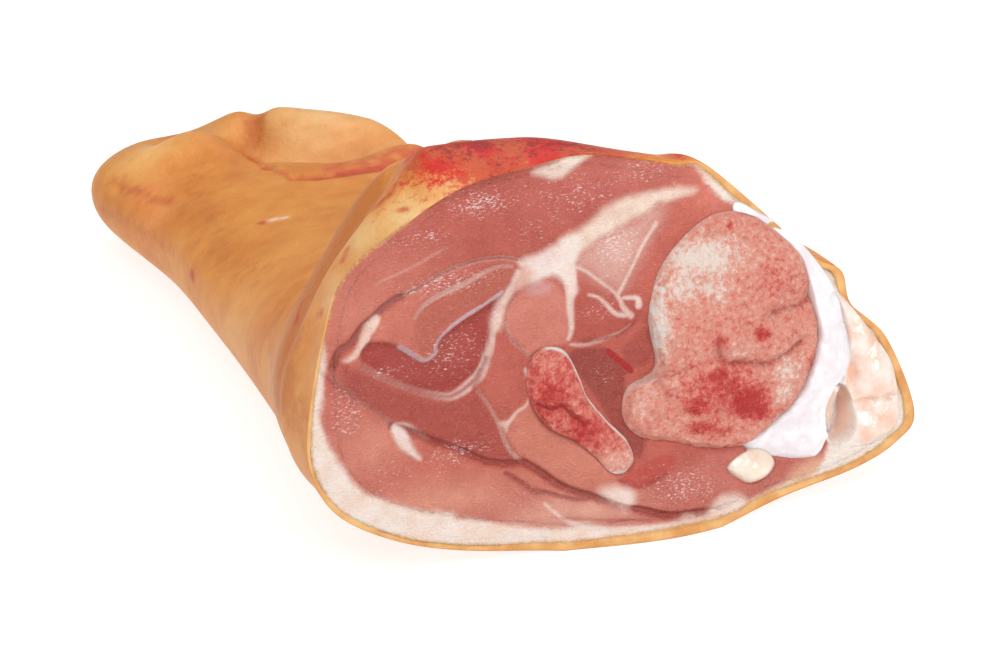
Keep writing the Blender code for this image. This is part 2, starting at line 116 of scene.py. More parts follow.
CARTILAGE = {
    "name": "knee_cartilage",
    "outline": [
        (45, 55), (40, 30), (37, 18), (44, 14), (51, 11), (59, 11), (63, 17), (65, 24),
        (68, 32), (70, 40), (68, 49), (63, 59), (54, 70), (46, 76), (38, 79),
    ],
    "path": [(0, 0, 0, 1, 0), (12, -3, 0, 0.94, 0), (24, -8, -1, 0.8, 0)],
    "crown": (3, 0.5),
}
FAT_PAD = {
    "name": "knee_fat_pad",
    "outline": [
        (59, 47), (59, 30), (62, 14), (69, 11), (77, 12), (83, 17), (83, 25), (81, 33),
        (76, 41), (70, 49), (63, 57),
    ],
    "path": [(0, 0, 0, 1, 0), (10, -3, 0, 0.94, 0), (20, -8, 0, 0.84, 0)],
    "crown": (1.5, 0.2),
}
TENDON = {
    "name": "tendon",
    "outline": [(38, 7.5), (44, 8.5), (47, 12), (43, 16), (37, 16.5), (32, 13)],
    "path": [(0, 0, 0, 1, 0), (16, -3, 0, 0.9, 0), (34, -9, 0, 0.6, 0)],
    "crown": (4.5, 1),
}
CAVITY_CENTRE = (66, 20.5)
CAVITY_RADII = (4.2, 8.5)
CAVITY_DEPTH = 9.0

LATTICE_CELLS = 24
LATTICE = np.random.default_rng(SEED).uniform(-1.0, 1.0, (LATTICE_CELLS,) * 3)
OCTAVE_SHIFT = 7.3
# Steps of a curve from point to point, points round the skin and the face, and mm between the
# rings of a rod.
CURVE_STEPS = 4
BONE_STEPS = 6
SKIN_AROUND = 500
FACE_AROUND = 620
ROD_STEP = 6.0


def smooth(x):
    x = np.clip(x, 0.0, 1.0)
    return x * x * (3.0 - 2.0 * x)


def noise(points, size, octaves=1):
    """Smooth random values between about -1 and 1, with features of the given size in mm."""
    total = np.zeros(points.shape[:-1])
    weight = 1.0
    for octave in range(octaves):
        scaled = points * (2.0 ** octave / size) + OCTAVE_SHIFT * octave
        cell = np.floor(scaled).astype(int)
        part = smooth(scaled - cell)
        value = 0.0
        for corner in range(8):
            bits = (corner & 1, corner >> 1 & 1, corner >> 2 & 1)
            share = 1.0
            where = []
            for k in range(3):
                share = share * (part[..., k] if bits[k] else 1.0 - part[..., k])
                where.append((cell[..., k] + bits[k]) % LATTICE_CELLS)
            value = value + share * LATTICE[where[0], where[1], where[2]]
        total = total + weight * value
        weight *= 0.5
    return total


def curve_through(points, closed, steps):
    """A smooth curve through points, with the given number of steps from each to the next."""
    points = np.array(points, float)
    first, last = (points[-1:], points[:2]) if closed else (points[:1], points[-1:])
    padded = np.vstack([first, points, last])
    before, start, end, after = (padded[k:len(padded) - 3 + k, None] for k in range(4))
    s = (np.arange(steps) / steps)[:, None]
    bend = 2 * before - 5 * start + 4 * end - after
    twist = 3 * start - before - 3 * end + after
    curve = 0.5 * (2 * start + (end - before) * s + bend * s ** 2 + twist * s ** 3)
    curve = curve.reshape(-1, points.shape[1])
    return curve if closed else np.vstack([curve, points[-1:]])


def table_at(table, distance):
    table = np.array(table, float)
    places = table[:, 0]
    values = table[:, 1:]
    slopes = np.gradient(values, places, axis=0)
    i = int(np.clip(np.searchsorted(places, distance) - 1, 0, len(places) - 2))
    step = places[i + 1] - places[i]
    s = (distance - places[i]) / step
    start = (2 * s ** 3 - 3 * s ** 2 + 1) * values[i]
    end = (3 * s ** 2 - 2 * s ** 3) * values[i + 1]
    leave = (s ** 3 - 2 * s ** 2 + s) * step * slopes[i]
    arrive = (s ** 3 - s ** 2) * step * slopes[i + 1]
    return start + end + leave + arrive


OUTLINE = curve_through(FACE_OUTLINE, True, 10)


def radius_at(outline, centre, angles):
    arms = outline - np.array(centre)
    directions = np.arctan2(arms[:, 1], arms[:, 0])
    lengths = np.hypot(arms[:, 0], arms[:, 1])
    order = np.argsort(directions)
    directions = directions[order]
    turns = np.concatenate([directions - 2 * np.pi, directions, directions + 2 * np.pi])
    return np.interp(angles, turns, np.tile(lengths[order], 3))


def distance_to_path(points, path):
    """Distance in mm from points to a path of straight runs, in as many dimensions as both have."""
    nearest = np.full(points.shape[:-1], np.inf)
    path = np.array(path, float)
    for start, end in zip(path[:-1], path[1:]):
        run = end - start
        along = np.clip(((points - start) @ run) / (run @ run), 0.0, 1.0)
        gap = np.linalg.norm(points - start - along[..., None] * run, axis=-1)
        nearest = np.minimum(nearest, gap)
    return nearest


def bell(x):
    return np.exp(-x ** 2)


def distance_to_curve(points, line, steps=CURVE_STEPS):
    """Distance in mm to a smooth open curve in X and Z."""
    return distance_to_path(points[..., [0, 2]], curve_through(line, False, steps))


def inside_by(points, outline):
    """Distance in mm to a closed smooth outline in X and Z, positive inside it."""
    x, z = points[..., 0], points[..., 2]
    line = curve_through(outline, True, CURVE_STEPS)
    line = np.vstack([line, line[:1]])
    inside = np.zeros(x.shape, bool)
    for (x0, z0), (x1, z1) in zip(line[:-1], line[1:]):
        if z0 != z1:
            crosses = (z0 > z) != (z1 > z)
            inside ^= crosses & (x < x0 + (z - z0) * (x1 - x0) / (z1 - z0))
    return np.where(inside, 1.0, -1.0) * distance_to_path(points[..., [0, 2]], line)


def fat_depth(angles):
    depth = np.full(np.shape(angles), RIND_DEPTH)
    for lobe, direction, spread in FAT_LOBES:
        turn = (np.degrees(angles) - direction + 180.0) % 360.0 - 180.0
        depth = depth + lobe * bell(turn / spread)
    return depth


def lip_at(x, z):
    across = bell((x - LIP_CENTRE) / LIP_SPREAD)
    return LIP_REACH * across * np.exp(-np.maximum(z, 0.0) / LIP_HEIGHT)


def fold_skin(points):
    x, y, z = points[..., 0], points[..., 1], points[..., 2]
    upper = smooth((z - FOLD_START) / (FOLD_FULL - FOLD_START))
    lift = np.zeros_like(z)
    for height, half_width, line in FOLDS:
        lift = lift + height * bell(distance_to_path(points[..., :2], line) / half_width)
    behind = y - FACE_Y - FACE_LEAN * z
    y = y - lip_at(x, z) * (1.0 - smooth(behind / LIP_FADE))
    return np.stack([x, y, np.maximum(z + lift * upper, 0.0)], axis=-1)


def leg_ring(distance, around):
    row = table_at(SECTIONS, distance)
    centre_x, centre_z, left, right, up, down, round_left, round_right, lean, skew = row
    angles = np.linspace(0.0, 2 * np.pi, around, endpoint=False)
    cosine = np.cos(angles)
    sine = np.sin(angles)
    power = 2.0 / np.where(cosine > 0, round_right, round_left)
    x = np.where(cosine > 0, right, left) * np.sign(cosine) * np.abs(cosine) ** power
    z = np.where(sine > 0, up, down) * np.sign(sine) * np.abs(sine) ** power
    radius = np.hypot(x, z)
    directions = np.arctan2(z, x)
    at_face = radius_at(OUTLINE, (centre_x, centre_z), directions)
    reach = at_face + (radius - at_face) * smooth(distance / FACE_BLEND)
    past = max(distance - LEG_LENGTH + HEEL_ROUNDING, 0.0) / HEEL_ROUNDING
    reach = reach * max(1.0 - past ** HEEL_POWER, 0.0) ** (1.0 / HEEL_POWER)
    x = x * reach / radius
    z = z * reach / radius
    height = centre_z + z
    y = FACE_Y + distance + lean * height + skew * x
    return np.stack([centre_x + x, y, height], axis=-1)


RIM = fold_skin(leg_ring(0.0, 720))[:, [0, 2]]


def even_outline(points, count):
    curve = curve_through(points, True, 10)
    closed = np.vstack([curve, curve[:1]])
    steps = np.hypot(*np.diff(closed, axis=0).T)
    travelled = np.concatenate([[0.0], np.cumsum(steps)])
    wanted = np.linspace(0.0, travelled[-1], count, endpoint=False)
    return np.stack([np.interp(wanted, travelled, closed[:, k]) for k in (0, 1)], axis=-1)


# What the sawn face shows, in X and Z.
SEAM_A = [(-19, 73.5), (-23.5, 75), (-31.5, 75), (-40, 73), (-44.5, 71), (-49.5, 69.5), (-53, 68),
          (-56.5, 65.5), (-59.5, 63.5), (-63, 60), (-66, 58.5), (-68, 55)]
SEAM_B = [(-21, 72.5), (-24.5, 73), (-28.5, 72), (-32, 70.5), (-35.5, 69.5), (-39, 68.5), (-42, 67.5),
          (-44.5, 66), (-46.5, 64)]
SMOOTH_MUSCLE = [
    (-21, 72.5), (-19.5, 71), (-21.5, 69.5), (-24, 67), (-27.5, 65), (-31.5, 63.5), (-35, 62.5),
    (-38, 60.5), (-41, 59), (-42, 56.5), (-43.5, 54.5), (-45.5, 54.5), (-46.5, 56.5), (-47, 59),
    (-47, 61.5), (-46, 64), (-44.5, 66), (-42, 67.5), (-39, 68.5), (-35.5, 69.5), (-32, 70.5),
    (-28.5, 72), (-24.5, 73),
]
BLUE_LINE = [(-51, 57.5), (-49, 56), (-47, 54.5), (-45.5, 53.5), (-44, 53.5), (-42, 54.5), (-42, 56),
             (-41, 57.5), (-38.5, 59.5), (-35, 61.5), (-31.5, 63), (-27.5, 64.5), (-24, 66.5)]
CRESCENT = [
    (-60.5, 58), (-58.5, 59.5), (-54.5, 59), (-51, 57.5), (-49, 56), (-47, 54.5), (-45.5, 53.5),
    (-44, 53.5), (-42, 55), (-41, 57.5), (-37.5, 59.5), (-31.5, 62), (-27.5, 64), (-24, 65.5),
    (-21.5, 68), (-23, 65.5), (-25, 62.5), (-26.5, 58.5), (-28, 55), (-29, 51), (-31, 47.5),
    (-35, 45.5), (-38.5, 44.5), (-42.5, 44.5), (-46.5, 46), (-51, 48), (-54.5, 50.5), (-58, 52.5),
    (-60.5, 55.5),
]
CRESCENT_RIM = [(-60.5, 54), (-58, 52), (-52.5, 48.5), (-46.5, 45.5), (-41, 43.5), (-37.5, 43.5),
                (-32.5, 46), (-30.5, 48), (-29, 51), (-27.5, 55), (-26.5, 58.5), (-25, 62.5),
                (-23, 65.5), (-21, 68.5), (-19.5, 71)]
LEFT_FAT = [(-65.5, 56), (-63, 56.5), (-60, 58), (-58, 61.5), (-55.5, 64.5), (-56, 65.5), (-59, 63.5),
            (-61, 60), (-63.5, 57)]
LEFT_SEAM = [(-66, 58.5), (-68, 55.5), (-68, 52.5), (-66, 49.5), (-63, 46.5)]
ROUND_MUSCLE = [
    (-17, 66.5), (-20, 65), (-22.5, 62), (-23.5, 58.5), (-22.5, 55), (-20, 52), (-18, 49.5),
    (-15.5, 50.5), (-13, 51.5), (-9.5, 51.5), (-7, 52.5), (-6.5, 56), (-7, 60.5), (-8.5, 65),
    (-11, 67.5), (-13.5, 68.5),
]
WEB_LEFT = [(-17.5, 72.5), (-16, 69.5), (-20, 66), (-22.5, 63), (-24, 59), (-25.5, 57.5), (-27, 58),
            (-25.5, 62.5), (-24, 65.5), (-21, 68.5), (-19, 71)]
WEB_MIDDLE = [(-19, 73), (-15, 75), (-11.5, 76), (-6.5, 78), (-3.5, 77), (-4, 73), (-5, 70.5),
              (-4.5, 64.5), (-6.5, 63), (-8, 66.5), (-10.5, 68.5), (-13.5, 68.5), (-16.5, 68), (-17, 71)]
WEB_RIGHT = [(-6.5, 70), (-6, 65), (-6.5, 60.5), (-6.5, 55), (-7.5, 52.5)]
SEPTUM = [(-9, 77.5), (-3, 79.5), (1, 82), (6.5, 84.5), (12, 85.5), (17.5, 86), (24.5, 85.5),
          (29, 84.5), (24, 83.5), (20.5, 83), (17, 82.5), (12.5, 80.5), (8.5, 79.5), (5.5, 78),
          (2, 77), (-2, 74.5), (-5.5, 73)]
VEIL = [(-5.5, 71.5), (-2, 74.5), (3, 77.5), (9.5, 79.5), (15.5, 82), (20, 82.5), (18, 78.5),
        (14.5, 74), (10.5, 68), (7, 63), (3, 64.5), (-1, 67.5)]
LILAC_SPOT = [(-17.5, 66), (-15.5, 67.5), (-12.5, 67.5), (-11, 66), (-12, 64.5), (-16, 64.5)]
TENDON_LINES = [
    [(17, 78), (13, 73), (10, 68), (7, 63), (6, 61.5)],
    [(-6, 70.5), (-2.5, 69), (1, 66), (4.5, 63), (6.5, 60.5), (7.5, 58), (9.5, 55.5)],
    [(-1.5, 62.5), (1, 61.5), (3, 59.5), (5, 57), (7.5, 56), (9, 56)],
    [(7.5, 60.5), (11, 60), (11.5, 58)],
]
SMALL_RIGHT = [(-5, 63.5), (-1.5, 62.5), (5, 57), (9.5, 55.5), (12.5, 57.5), (10.5, 53), (6.5, 51),
               (1.5, 50.5), (-3.5, 50.5), (-6.5, 53), (-6.5, 58.5)]
LOWER_EDGE = [(-7, 51), (-3, 50), (1.5, 50.5), (6.5, 51.5), (9.5, 53)]
BROWN_MUSCLE = [
    (-6.5, 49.5), (-7.5, 46.5), (-5, 43), (-3, 39.5), (1, 32), (5, 24), (9, 20), (11, 26), (8, 31),
    (6, 36), (7, 41), (8.5, 42), (6.5, 44), (3, 48), (-1.5, 49),
]
VESSEL = [(3, 47.5), (6.5, 44), (8.5, 42)]
RIGHT_DARK = [(6.5, 46.5), (10, 50), (13, 52), (15, 50), (15.5, 46), (12.5, 43), (9, 42.5)]
STRIP_MUSCLE = [(-26, 57), (-23.5, 55.5), (-21, 52), (-18, 49), (-19, 45.5), (-19.5, 39), (-24, 34.5),
                (-26, 37), (-28, 41), (-30, 44), (-31.5, 46), (-28.5, 50), (-27, 54.5)]
LOWER_SEAM = [(-71, 54), (-68, 51), (-65, 48), (-61, 45), (-57.5, 42), (-54.5, 38.5), (-50.5, 36.5),
              (-47, 34.5), (-43, 32), (-39, 30), (-34, 27), (-30.5, 25), (-25.5, 23.5), (-21.5, 23)]
UNDER_SEAM = [(-21, 23), (-17, 20), (-13, 16.5), (-9, 14), (-3, 11.5), (2, 9), (9.5, 6.5),
              (15.5, 4.5), (22, 4), (28.5, 3.5)]
SECOND_SEAM = [(-26, 21.5), (-23, 19), (-19, 15.5), (-14.5, 14), (-9, 12), (-4.5, 11.5)]
FAT_STREAK = [(-54, 38.5), (-54.5, 36.5), (-53, 33.5), (-51, 31), (-48, 29), (-49.5, 32), (-50.5, 35),
              (-51.5, 37)]
STREAK_LINE = [(-53.5, 38.5), (-51, 38), (-48, 35.5), (-45, 33)]
MID_SEAM = [(-32, 43.5), (-29, 38.5), (-27, 34), (-26, 30.5), (-24.5, 27), (-21.5, 23)]
NODE = [(-27, 34.5), (-24, 34.5), (-25, 31.5), (-26, 32.5)]
NODE_LINE = [(-24.5, 34), (-22, 36.5), (-19.5, 38), (-18.5, 42), (-19.5, 47)]
PALE_MUSCLE = [
    (-24.5, 34), (-22, 36.5), (-19.5, 38), (-17, 34.5), (-15, 31), (-11, 28.5), (-3.5, 24),
    (1, 18.5), (2.5, 16), (5.5, 15), (5.5, 12.5), (-1.5, 13.5), (-9, 14.5), (-14.5, 18),
    (-19.5, 21.5), (-22.5, 26), (-25, 30.5),
]
CORNER_FAT = [(-2.5, 13), (0, 14), (5.5, 12.5), (6.5, 10.5), (5.5, 7.5), (0.5, 9.5)]
RED_LENS = [(3, 15), (6.5, 17), (14, 19.5), (18.5, 19), (17, 15), (10.5, 12.5), (5, 12.5)]
LAYER_LINE = [(-16.5, 12), (-12, 7.5), (-5.5, 4.5), (5.5, 3), (20.5, 2), (31, 2.5)]
DARK_BELOW = [(-66, 57), (-63, 54), (-57, 51), (-51, 47), (-44, 43.5), (-38, 43), (-33, 44.5),
              (-29, 38.5), (-27, 34), (-25, 28), (-22, 23.5), (-30, 25.5), (-39, 30.5), (-47, 35),
              (-54, 39), (-60, 44), (-65, 48.5)]
TOP_FAT = [(-14, 94.5), (-8, 96.5), (0, 98.8), (6, 99.5), (10, 99.2), (6, 97), (0, 96),
           (-4, 93.5), (-8, 92), (-12, 93)]
CORNER_MUSCLE = [(18, 12), (26, 17), (36, 17), (44, 18), (50, 13), (56, 10), (60, 7.5), (55, 5.5),
                 (46, 4.5), (38, 3.5), (28, 4), (20, 6)]
PALE_CORNER = [(28, 6), (33, 7), (37, 4.5), (34, 2), (26, 2)]
PEACH_RIGHT = [(54, 10), (62, 11), (72, 13), (84, 17), (86, 14), (76, 8), (64, 4), (54, 2.5), (44, 2),
               (38, 3), (47, 5)]
MEAT_EDGE = [
    (-70.5, 60), (-71, 55.5), (-71.5, 51.5), (-72.5, 43.5), (-71, 38), (-68.5, 31.5), (-63.5, 25),
    (-56.5, 19.5), (-46.5, 16), (-35, 11.5), (-24, 8), (-12.5, 5.5), (-2, 4.5), (9, 3.5), (20.5, 3),
    (31, 3), (40, 4), (50, 5), (58, 7.5), (62, 11), (64, 17), (67, 28), (70, 38), (67, 48), (61, 58),
    (52, 68), (42, 77), (36, 81), (31, 87), (26, 92), (19, 95), (12, 97), (5, 97.5), (-2, 97),
    (-12, 97), (-23, 96.5), (-31, 95.5), (-39, 93), (-49, 89), (-56, 86.5), (-62, 82.5),
    (-68, 77), (-72, 68),
]

# Muscles: outline, colour, softness of the edge in mm.
MUSCLES = [
    (DARK_BELOW, (0.422, 0.0645, 0.0426), 2),
    (SMOOTH_MUSCLE, (0.499, 0.12, 0.0779), 0.5),
    (CRESCENT, (0.403, 0.0473, 0.0344), 0.5),
    (STRIP_MUSCLE, (0.538, 0.112, 0.0779), 0.8),
    (ROUND_MUSCLE, (0.653, 0.215, 0.156), 0.8),
    (PALE_MUSCLE, (0.634, 0.206, 0.139), 0.9),
    (BROWN_MUSCLE, (0.346, 0.0516, 0.0344), 0.6),
    (SMALL_RIGHT, (0.518, 0.0989, 0.0697), 1.2),
    (RIGHT_DARK, (0.422, 0.0731, 0.0533), 0.8),
    (RED_LENS, (0.528, 0.0731, 0.0492), 0.8),
    (CORNER_MUSCLE, (0.557, 0.146, 0.107), 1.5),
]
# Pale membranes and fat in the meat: outline, colour, softness, strength.
VEILS = [
    (VEIL, (0.8, 0.5, 0.43), 4, 0.75),
    (SEPTUM, (0.9, 0.74, 0.62), 1.2, 0.95),
    (WEB_MIDDLE, (0.92, 0.8, 0.74), 1.2, 0.95),
    (WEB_LEFT, (0.86, 0.62, 0.52), 1.4, 0.85),
    (LILAC_SPOT, (0.74, 0.45, 0.47), 1, 0.5),
    (LEFT_FAT, (0.9, 0.7, 0.6), 0.7, 0.9),
    (FAT_STREAK, (0.9, 0.76, 0.7), 0.8, 0.9),
    (CORNER_FAT, (0.92, 0.78, 0.7), 1.8, 0.95),
    (NODE, (0.86, 0.64, 0.56), 0.6, 0.8),
    (TOP_FAT, (0.92, 0.78, 0.68), 1.2, 0.95),
    (PALE_CORNER, (0.9, 0.76, 0.66), 1.6, 0.9),
    (PEACH_RIGHT, (0.84, 0.52, 0.34), 2.2, 0.85),
]
# Patches of muscle colour: middle, reach across and up, colour, strength.
TONES = [
    ((-62, 66), (20, 16), (0.647, 0.202, 0.139), 1),
    ((-44, 79), (12, 6), (0.588, 0.167, 0.118), 0.8),
    ((-24, 83), (20, 7), (0.49, 0.088, 0.0588), 0.9),
    ((2, 88), (26, 6), (0.53, 0.115, 0.09), 0.9),
    ((34, 84), (13, 9), (0.76, 0.22, 0.155), 0.9),
    ((15, 91.5), (14, 4), (0.62, 0.18, 0.14), 0.7),
    ((18, 66), (8, 12), (0.588, 0.132, 0.0924), 0.8),
    ((-62, 46), (10, 8), (0.549, 0.132, 0.0924), 0.7),
    ((-60, 34), (12, 9), (0.706, 0.264, 0.185), 0.9),
    ((-42, 24), (20, 6), (0.588, 0.15, 0.101), 0.8),
    ((-44, 18), (24, 5), (0.725, 0.317, 0.218), 0.8),
    ((-8, 9), (20, 5), (0.78, 0.42, 0.32), 0.85),
    ((24, 11), (12, 6), (0.51, 0.123, 0.0966), 0.8),
]
BASE_TONE = (0.529, 0.11, 0.0756)

# Thin pale lines: line, half widths along it in mm, strength.
FILMS = [
    (SEAM_A, (0.5, 0.45, 0.3), 0.45),
    (SEAM_B, (0.3, 0.6, 0.3), 0.6),
    (CRESCENT_RIM, (0.25, 0.3, 1.1, 0.7, 0.4, 0.7), 0.8),
    (LEFT_SEAM, (0.3, 0.4, 0.2), 0.5),
    (WEB_RIGHT, (1.9, 0.9, 0.45), 0.9),
    (TENDON_LINES[0], (0.5, 0.35, 0.6), 0.85),
    (TENDON_LINES[1], (0.3, 0.35, 0.8), 0.8),
    (TENDON_LINES[2], (0.3, 0.5, 0.7), 0.8),
    (TENDON_LINES[3], (0.4, 0.6, 0.9), 0.95),
    (LOWER_EDGE, (0.35, 0.5, 0.3), 0.6),
    (MID_SEAM, (0.15, 0.35, 0.4), 0.65),
    (NODE_LINE, (0.5, 0.35, 0.4), 0.7),
    (STREAK_LINE, (0.5, 0.6, 0.2), 0.85),
    (LAYER_LINE, (0.3, 0.7, 0.6), 0.75),
    ([(-23.5, 58.5), (-22.5, 55), (-20, 52), (-18, 49.5)], (0.4, 0.3, 0.3), 0.55),
    ([(-65, 48), (-57.5, 42), (-54.5, 38.5)], (0.2, 0.3, 0.3), 0.35),
    ([(-56, 74), (-46, 77), (-38, 80)], (0.2, 0.25, 0.1), 0.3),
]
# Dark seams, their own dark colour with painted shade in the groove: line, half width of the dark line, how
# deep it sinks in mm.
SEAMS = [
    (SEAM_A[5:], 0.9, 1.5),
    (SEAM_A[:6], 0.4, 0.9),
    (SEAM_B, 0.4, 0.6),
    (BLUE_LINE, 0.5, 0.6),
    (CRESCENT_RIM[:8], 0.6, 0.9),
    (LEFT_SEAM, 0.6, 0.9),
    (LOWER_SEAM[:6], 0.5, 0.8),
    (LOWER_SEAM[5:], 0.9, 1.6),
    (UNDER_SEAM, 1, 1.7),
    (SECOND_SEAM, 0.7, 0.9),
    (MID_SEAM, 0.35, 0.7),
    ([(-29, 51), (-31, 47), (-33, 44.5)], 0.6, 0.8),
    (ROUND_MUSCLE[1:8], 0.4, 0.8),
    (SMALL_RIGHT[5:9], 0.5, 0.8),
    ([(-12, 7.5), (-2, 6), (10, 4.5)], 0.5, 0.6),
    ([(3, 15), (9, 12.5), (16, 14.5)], 0.5, 0.7),
]
# Painted highlights, wet glints on the meat: middle, reach across and up, strength.
PAINTED_GLINTS = [
    ((-28, 89), (12, 4), 1), ((-44, 83), (14, 3), 0.7), ((-4, 88), (14, 7), 0.7),
    ((-14, 81), (10, 5), 0.6), ((14, 91), (14, 5), 0.7), ((-38, 71), (16, 4), 0.9),
    ((-38, 54), (12, 7), 0.75), ((-54, 52), (8, 3), 0.7), ((-10, 72), (8, 5), 1),
    ((6, 74), (9, 8), 1), ((2, 59), (8, 4), 0.6), ((-66, 44), (6, 8), 0.8),
    ((-52, 26), (16, 6), 0.4), ((-38, 29), (10, 3), 0.9), ((-20, 14), (14, 4), 0.5),
    ((20, 11), (12, 6), 0.9), ((1, 42), (4, 4), 0.5), ((40, 8), (10, 4), 0.4),
]

RODS = (SHIN, CALF, CARTILAGE, FAT_PAD, TENDON)
FILM_SOFTNESS = 0.9
FILM_TONE = (0.9, 0.72, 0.64)


def blob(points, middle, reach):
    """1 at the middle, fading with distance over the reach, in as many directions as given."""
    arms = (points - np.array(middle, float)) / np.array(reach, float)
    return np.exp(-(arms ** 2).sum(axis=-1))


def spots(points, table):
    """The strongest of a table's spots at each point: middle in X and Z, reach, strength."""
    flat = points[..., [0, 2]]
    return np.max([strength * blob(flat, middle, reach) for middle, reach, strength in table], axis=0)


def toward(colour, tone, share):
    return colour + (np.array(tone) - colour) * share[..., None]


def film_at(points):
    """How strongly a thin pale line covers each point."""
    flat = points[..., [0, 2]]
    cover = np.zeros(flat.shape[:-1])
    for line, widths, strength in FILMS:
        curve = curve_through(line, False, CURVE_STEPS)
        halves = np.interp(np.linspace(0, 1, len(curve)), np.linspace(0, 1, len(widths)), widths)
        for i in range(len(curve) - 1):
            inside = 0.5 * (halves[i] + halves[i + 1]) - distance_to_path(flat, curve[i:i + 2])
            cover = np.maximum(cover, strength * smooth(0.5 + inside / FILM_SOFTNESS))
    return cover


def seams_at(points):
    """How deep the seams sink, in mm, and how dark they are painted: their own colour and painted shade in
    the groove.
    """
    depth = np.zeros(points.shape[:-1])
    dark = np.zeros(points.shape[:-1])
    for line, half, deep in SEAMS:
        gap = distance_to_curve(points, line)
        depth = np.maximum(depth, deep * (0.55 * bell(gap / 3.6) + 0.75 * bell(gap / 0.8)))
        # Painted shade: a wide faint fringe beside each seam, darker the deeper the seam sinks.
        shade = bell(gap / half) + 0.35 * bell(gap / (3.0 * half))
        dark = np.maximum(dark, shade * min(deep, 1.2))
    return depth, dark


# Thickness of the rind's cut edge by direction from the face's centre, in degrees and mm. It is
# thin where the meat reaches the top.
RIND_EDGE = [
    (-180, 0.9), (-165, 1.3), (-150, 1.9), (-120, 2), (-90, 2), (-60, 2.3), (-35, 3.4),
    (-20, 3), (0, 2.4), (30, 2.3), (50, 2), (65, 0.8), (75, 0.3), (100, 0.15), (120, 0.15),
    (150, 0.2), (165, 0.4), (180, 0.9),
]


def rind_depth(angles):
    return np.interp(np.degrees(angles), *zip(*RIND_EDGE))


def face_looks(flat):
    """Relief in mm and looks of the sawn face at points with no depth."""
    across = flat[..., [0, 2]]
    depth, dark = seams_at(flat)
    meat = inside_by(flat, MEAT_EDGE) + 0.9 * noise(flat, 7.0, 3)
    colour = np.tile(np.array(BASE_TONE), (*dark.shape, 1))
    for middle, reach, tone, strength in TONES:
        colour = toward(colour, tone, strength * blob(across, middle, reach))
    for outline, tone, softness in MUSCLES:
        colour = toward(colour, tone, smooth(0.5 + 0.5 * inside_by(flat, outline) / softness))
    swell = np.zeros(dark.shape)
    for outline, tone, softness, strength in VEILS:
        inside = inside_by(flat, outline) + 0.35 * noise(flat, 3.0, 2)
        share = strength * smooth(0.5 + 0.5 * inside / softness)
        colour = toward(colour, tone, share)
        dark = dark * (1.0 - share)
        swell = np.maximum(swell, share)
    colour = toward(colour, FILM_TONE, film_at(flat))
    blue_gap = distance_to_curve(flat, BLUE_LINE)
    crescent = smooth(0.5 + inside_by(flat, CRESCENT) / 2.0)
    under = np.max([inside_by(flat, rod["outline"]) for rod in RODS], axis=0)
    relief = 0.9 * noise(flat, 16.0) + 0.10 * noise(flat, 1.8, 2) + 0.5 * swell - depth
    relief = relief - 1.5 * crescent + 0.9 * bell(blue_gap / 1.2)
    relief = relief - 6.0 * smooth(under / 2.5)
    arms = across - FACE_CENTRE
    angles = np.arctan2(arms[..., 1], arms[..., 0])
    to_rim = radius_at(RIM, FACE_CENTRE, angles) - np.hypot(arms[..., 0], arms[..., 1])
    return relief, {
        "tone": colour,
        "fat": smooth(0.5 - meat / 4.4),
        "dark": dark,
        "blue": smooth(0.5 + (0.7 - blue_gap) / 0.8),
        "blood": 0.9 - distance_to_curve(flat, VESSEL),
        "painted_glint": spots(flat, PAINTED_GLINTS),
        "rind": rind_depth(angles) - to_rim,
    }


def place(points):
    return (np.asarray(points, float) - ORIGIN) * MM


def ring_mesh(name, rings, material, closed=False):
    """A mesh through rings of points in millimetres, capped at both ends or closed on itself."""
    rings = np.asarray(rings, float)
    count, around = rings.shape[:2]
    vertices = rings.reshape(-1, 3)
    index = np.arange(count * around).reshape(count, around)
    if closed:
        index = np.vstack([index, index[:1]])
    low = index[:-1]
    high = index[1:]
    quads = np.stack([low, np.roll(low, -1, 1), np.roll(high, -1, 1), high], axis=-1)
    faces = quads.reshape(-1, 4).tolist()
    if not closed:
        for ring, flip in ((0, True), (-1, False)):
            tip = len(vertices)
            vertices = np.vstack([vertices, rings[ring].mean(axis=0)])
            for here, after in zip(index[ring], np.roll(index[ring], -1)):
                faces.append([after, here, tip] if flip else [here, after, tip])
    mesh = bpy.data.meshes.new(name)
    mesh.from_pydata(place(vertices).tolist(), [], faces)
    mesh.materials.append(material)
    mesh.shade_smooth()
    mesh.update()
    thing = bpy.data.objects.new(name, mesh)
    bpy.context.scene.collection.objects.link(thing)
    return thing


def give(thing, name, values):
    """Store a number or a colour for each vertex; a cap's tip takes the mean."""
    count = len(thing.data.vertices)
    kind, field, size = ("FLOAT_COLOR", "color", 3) if values.ndim == 3 else ("FLOAT", "value", 1)
    values = values.reshape(-1, size)
    values = np.vstack([values, np.tile(values.mean(axis=0), (count - len(values), 1))])
    if size == 3:
        values = np.hstack([values, np.ones((count, 1))])
    data = thing.data.attributes.new(name, kind, "POINT")
    data.data.foreach_set(field, values.ravel())


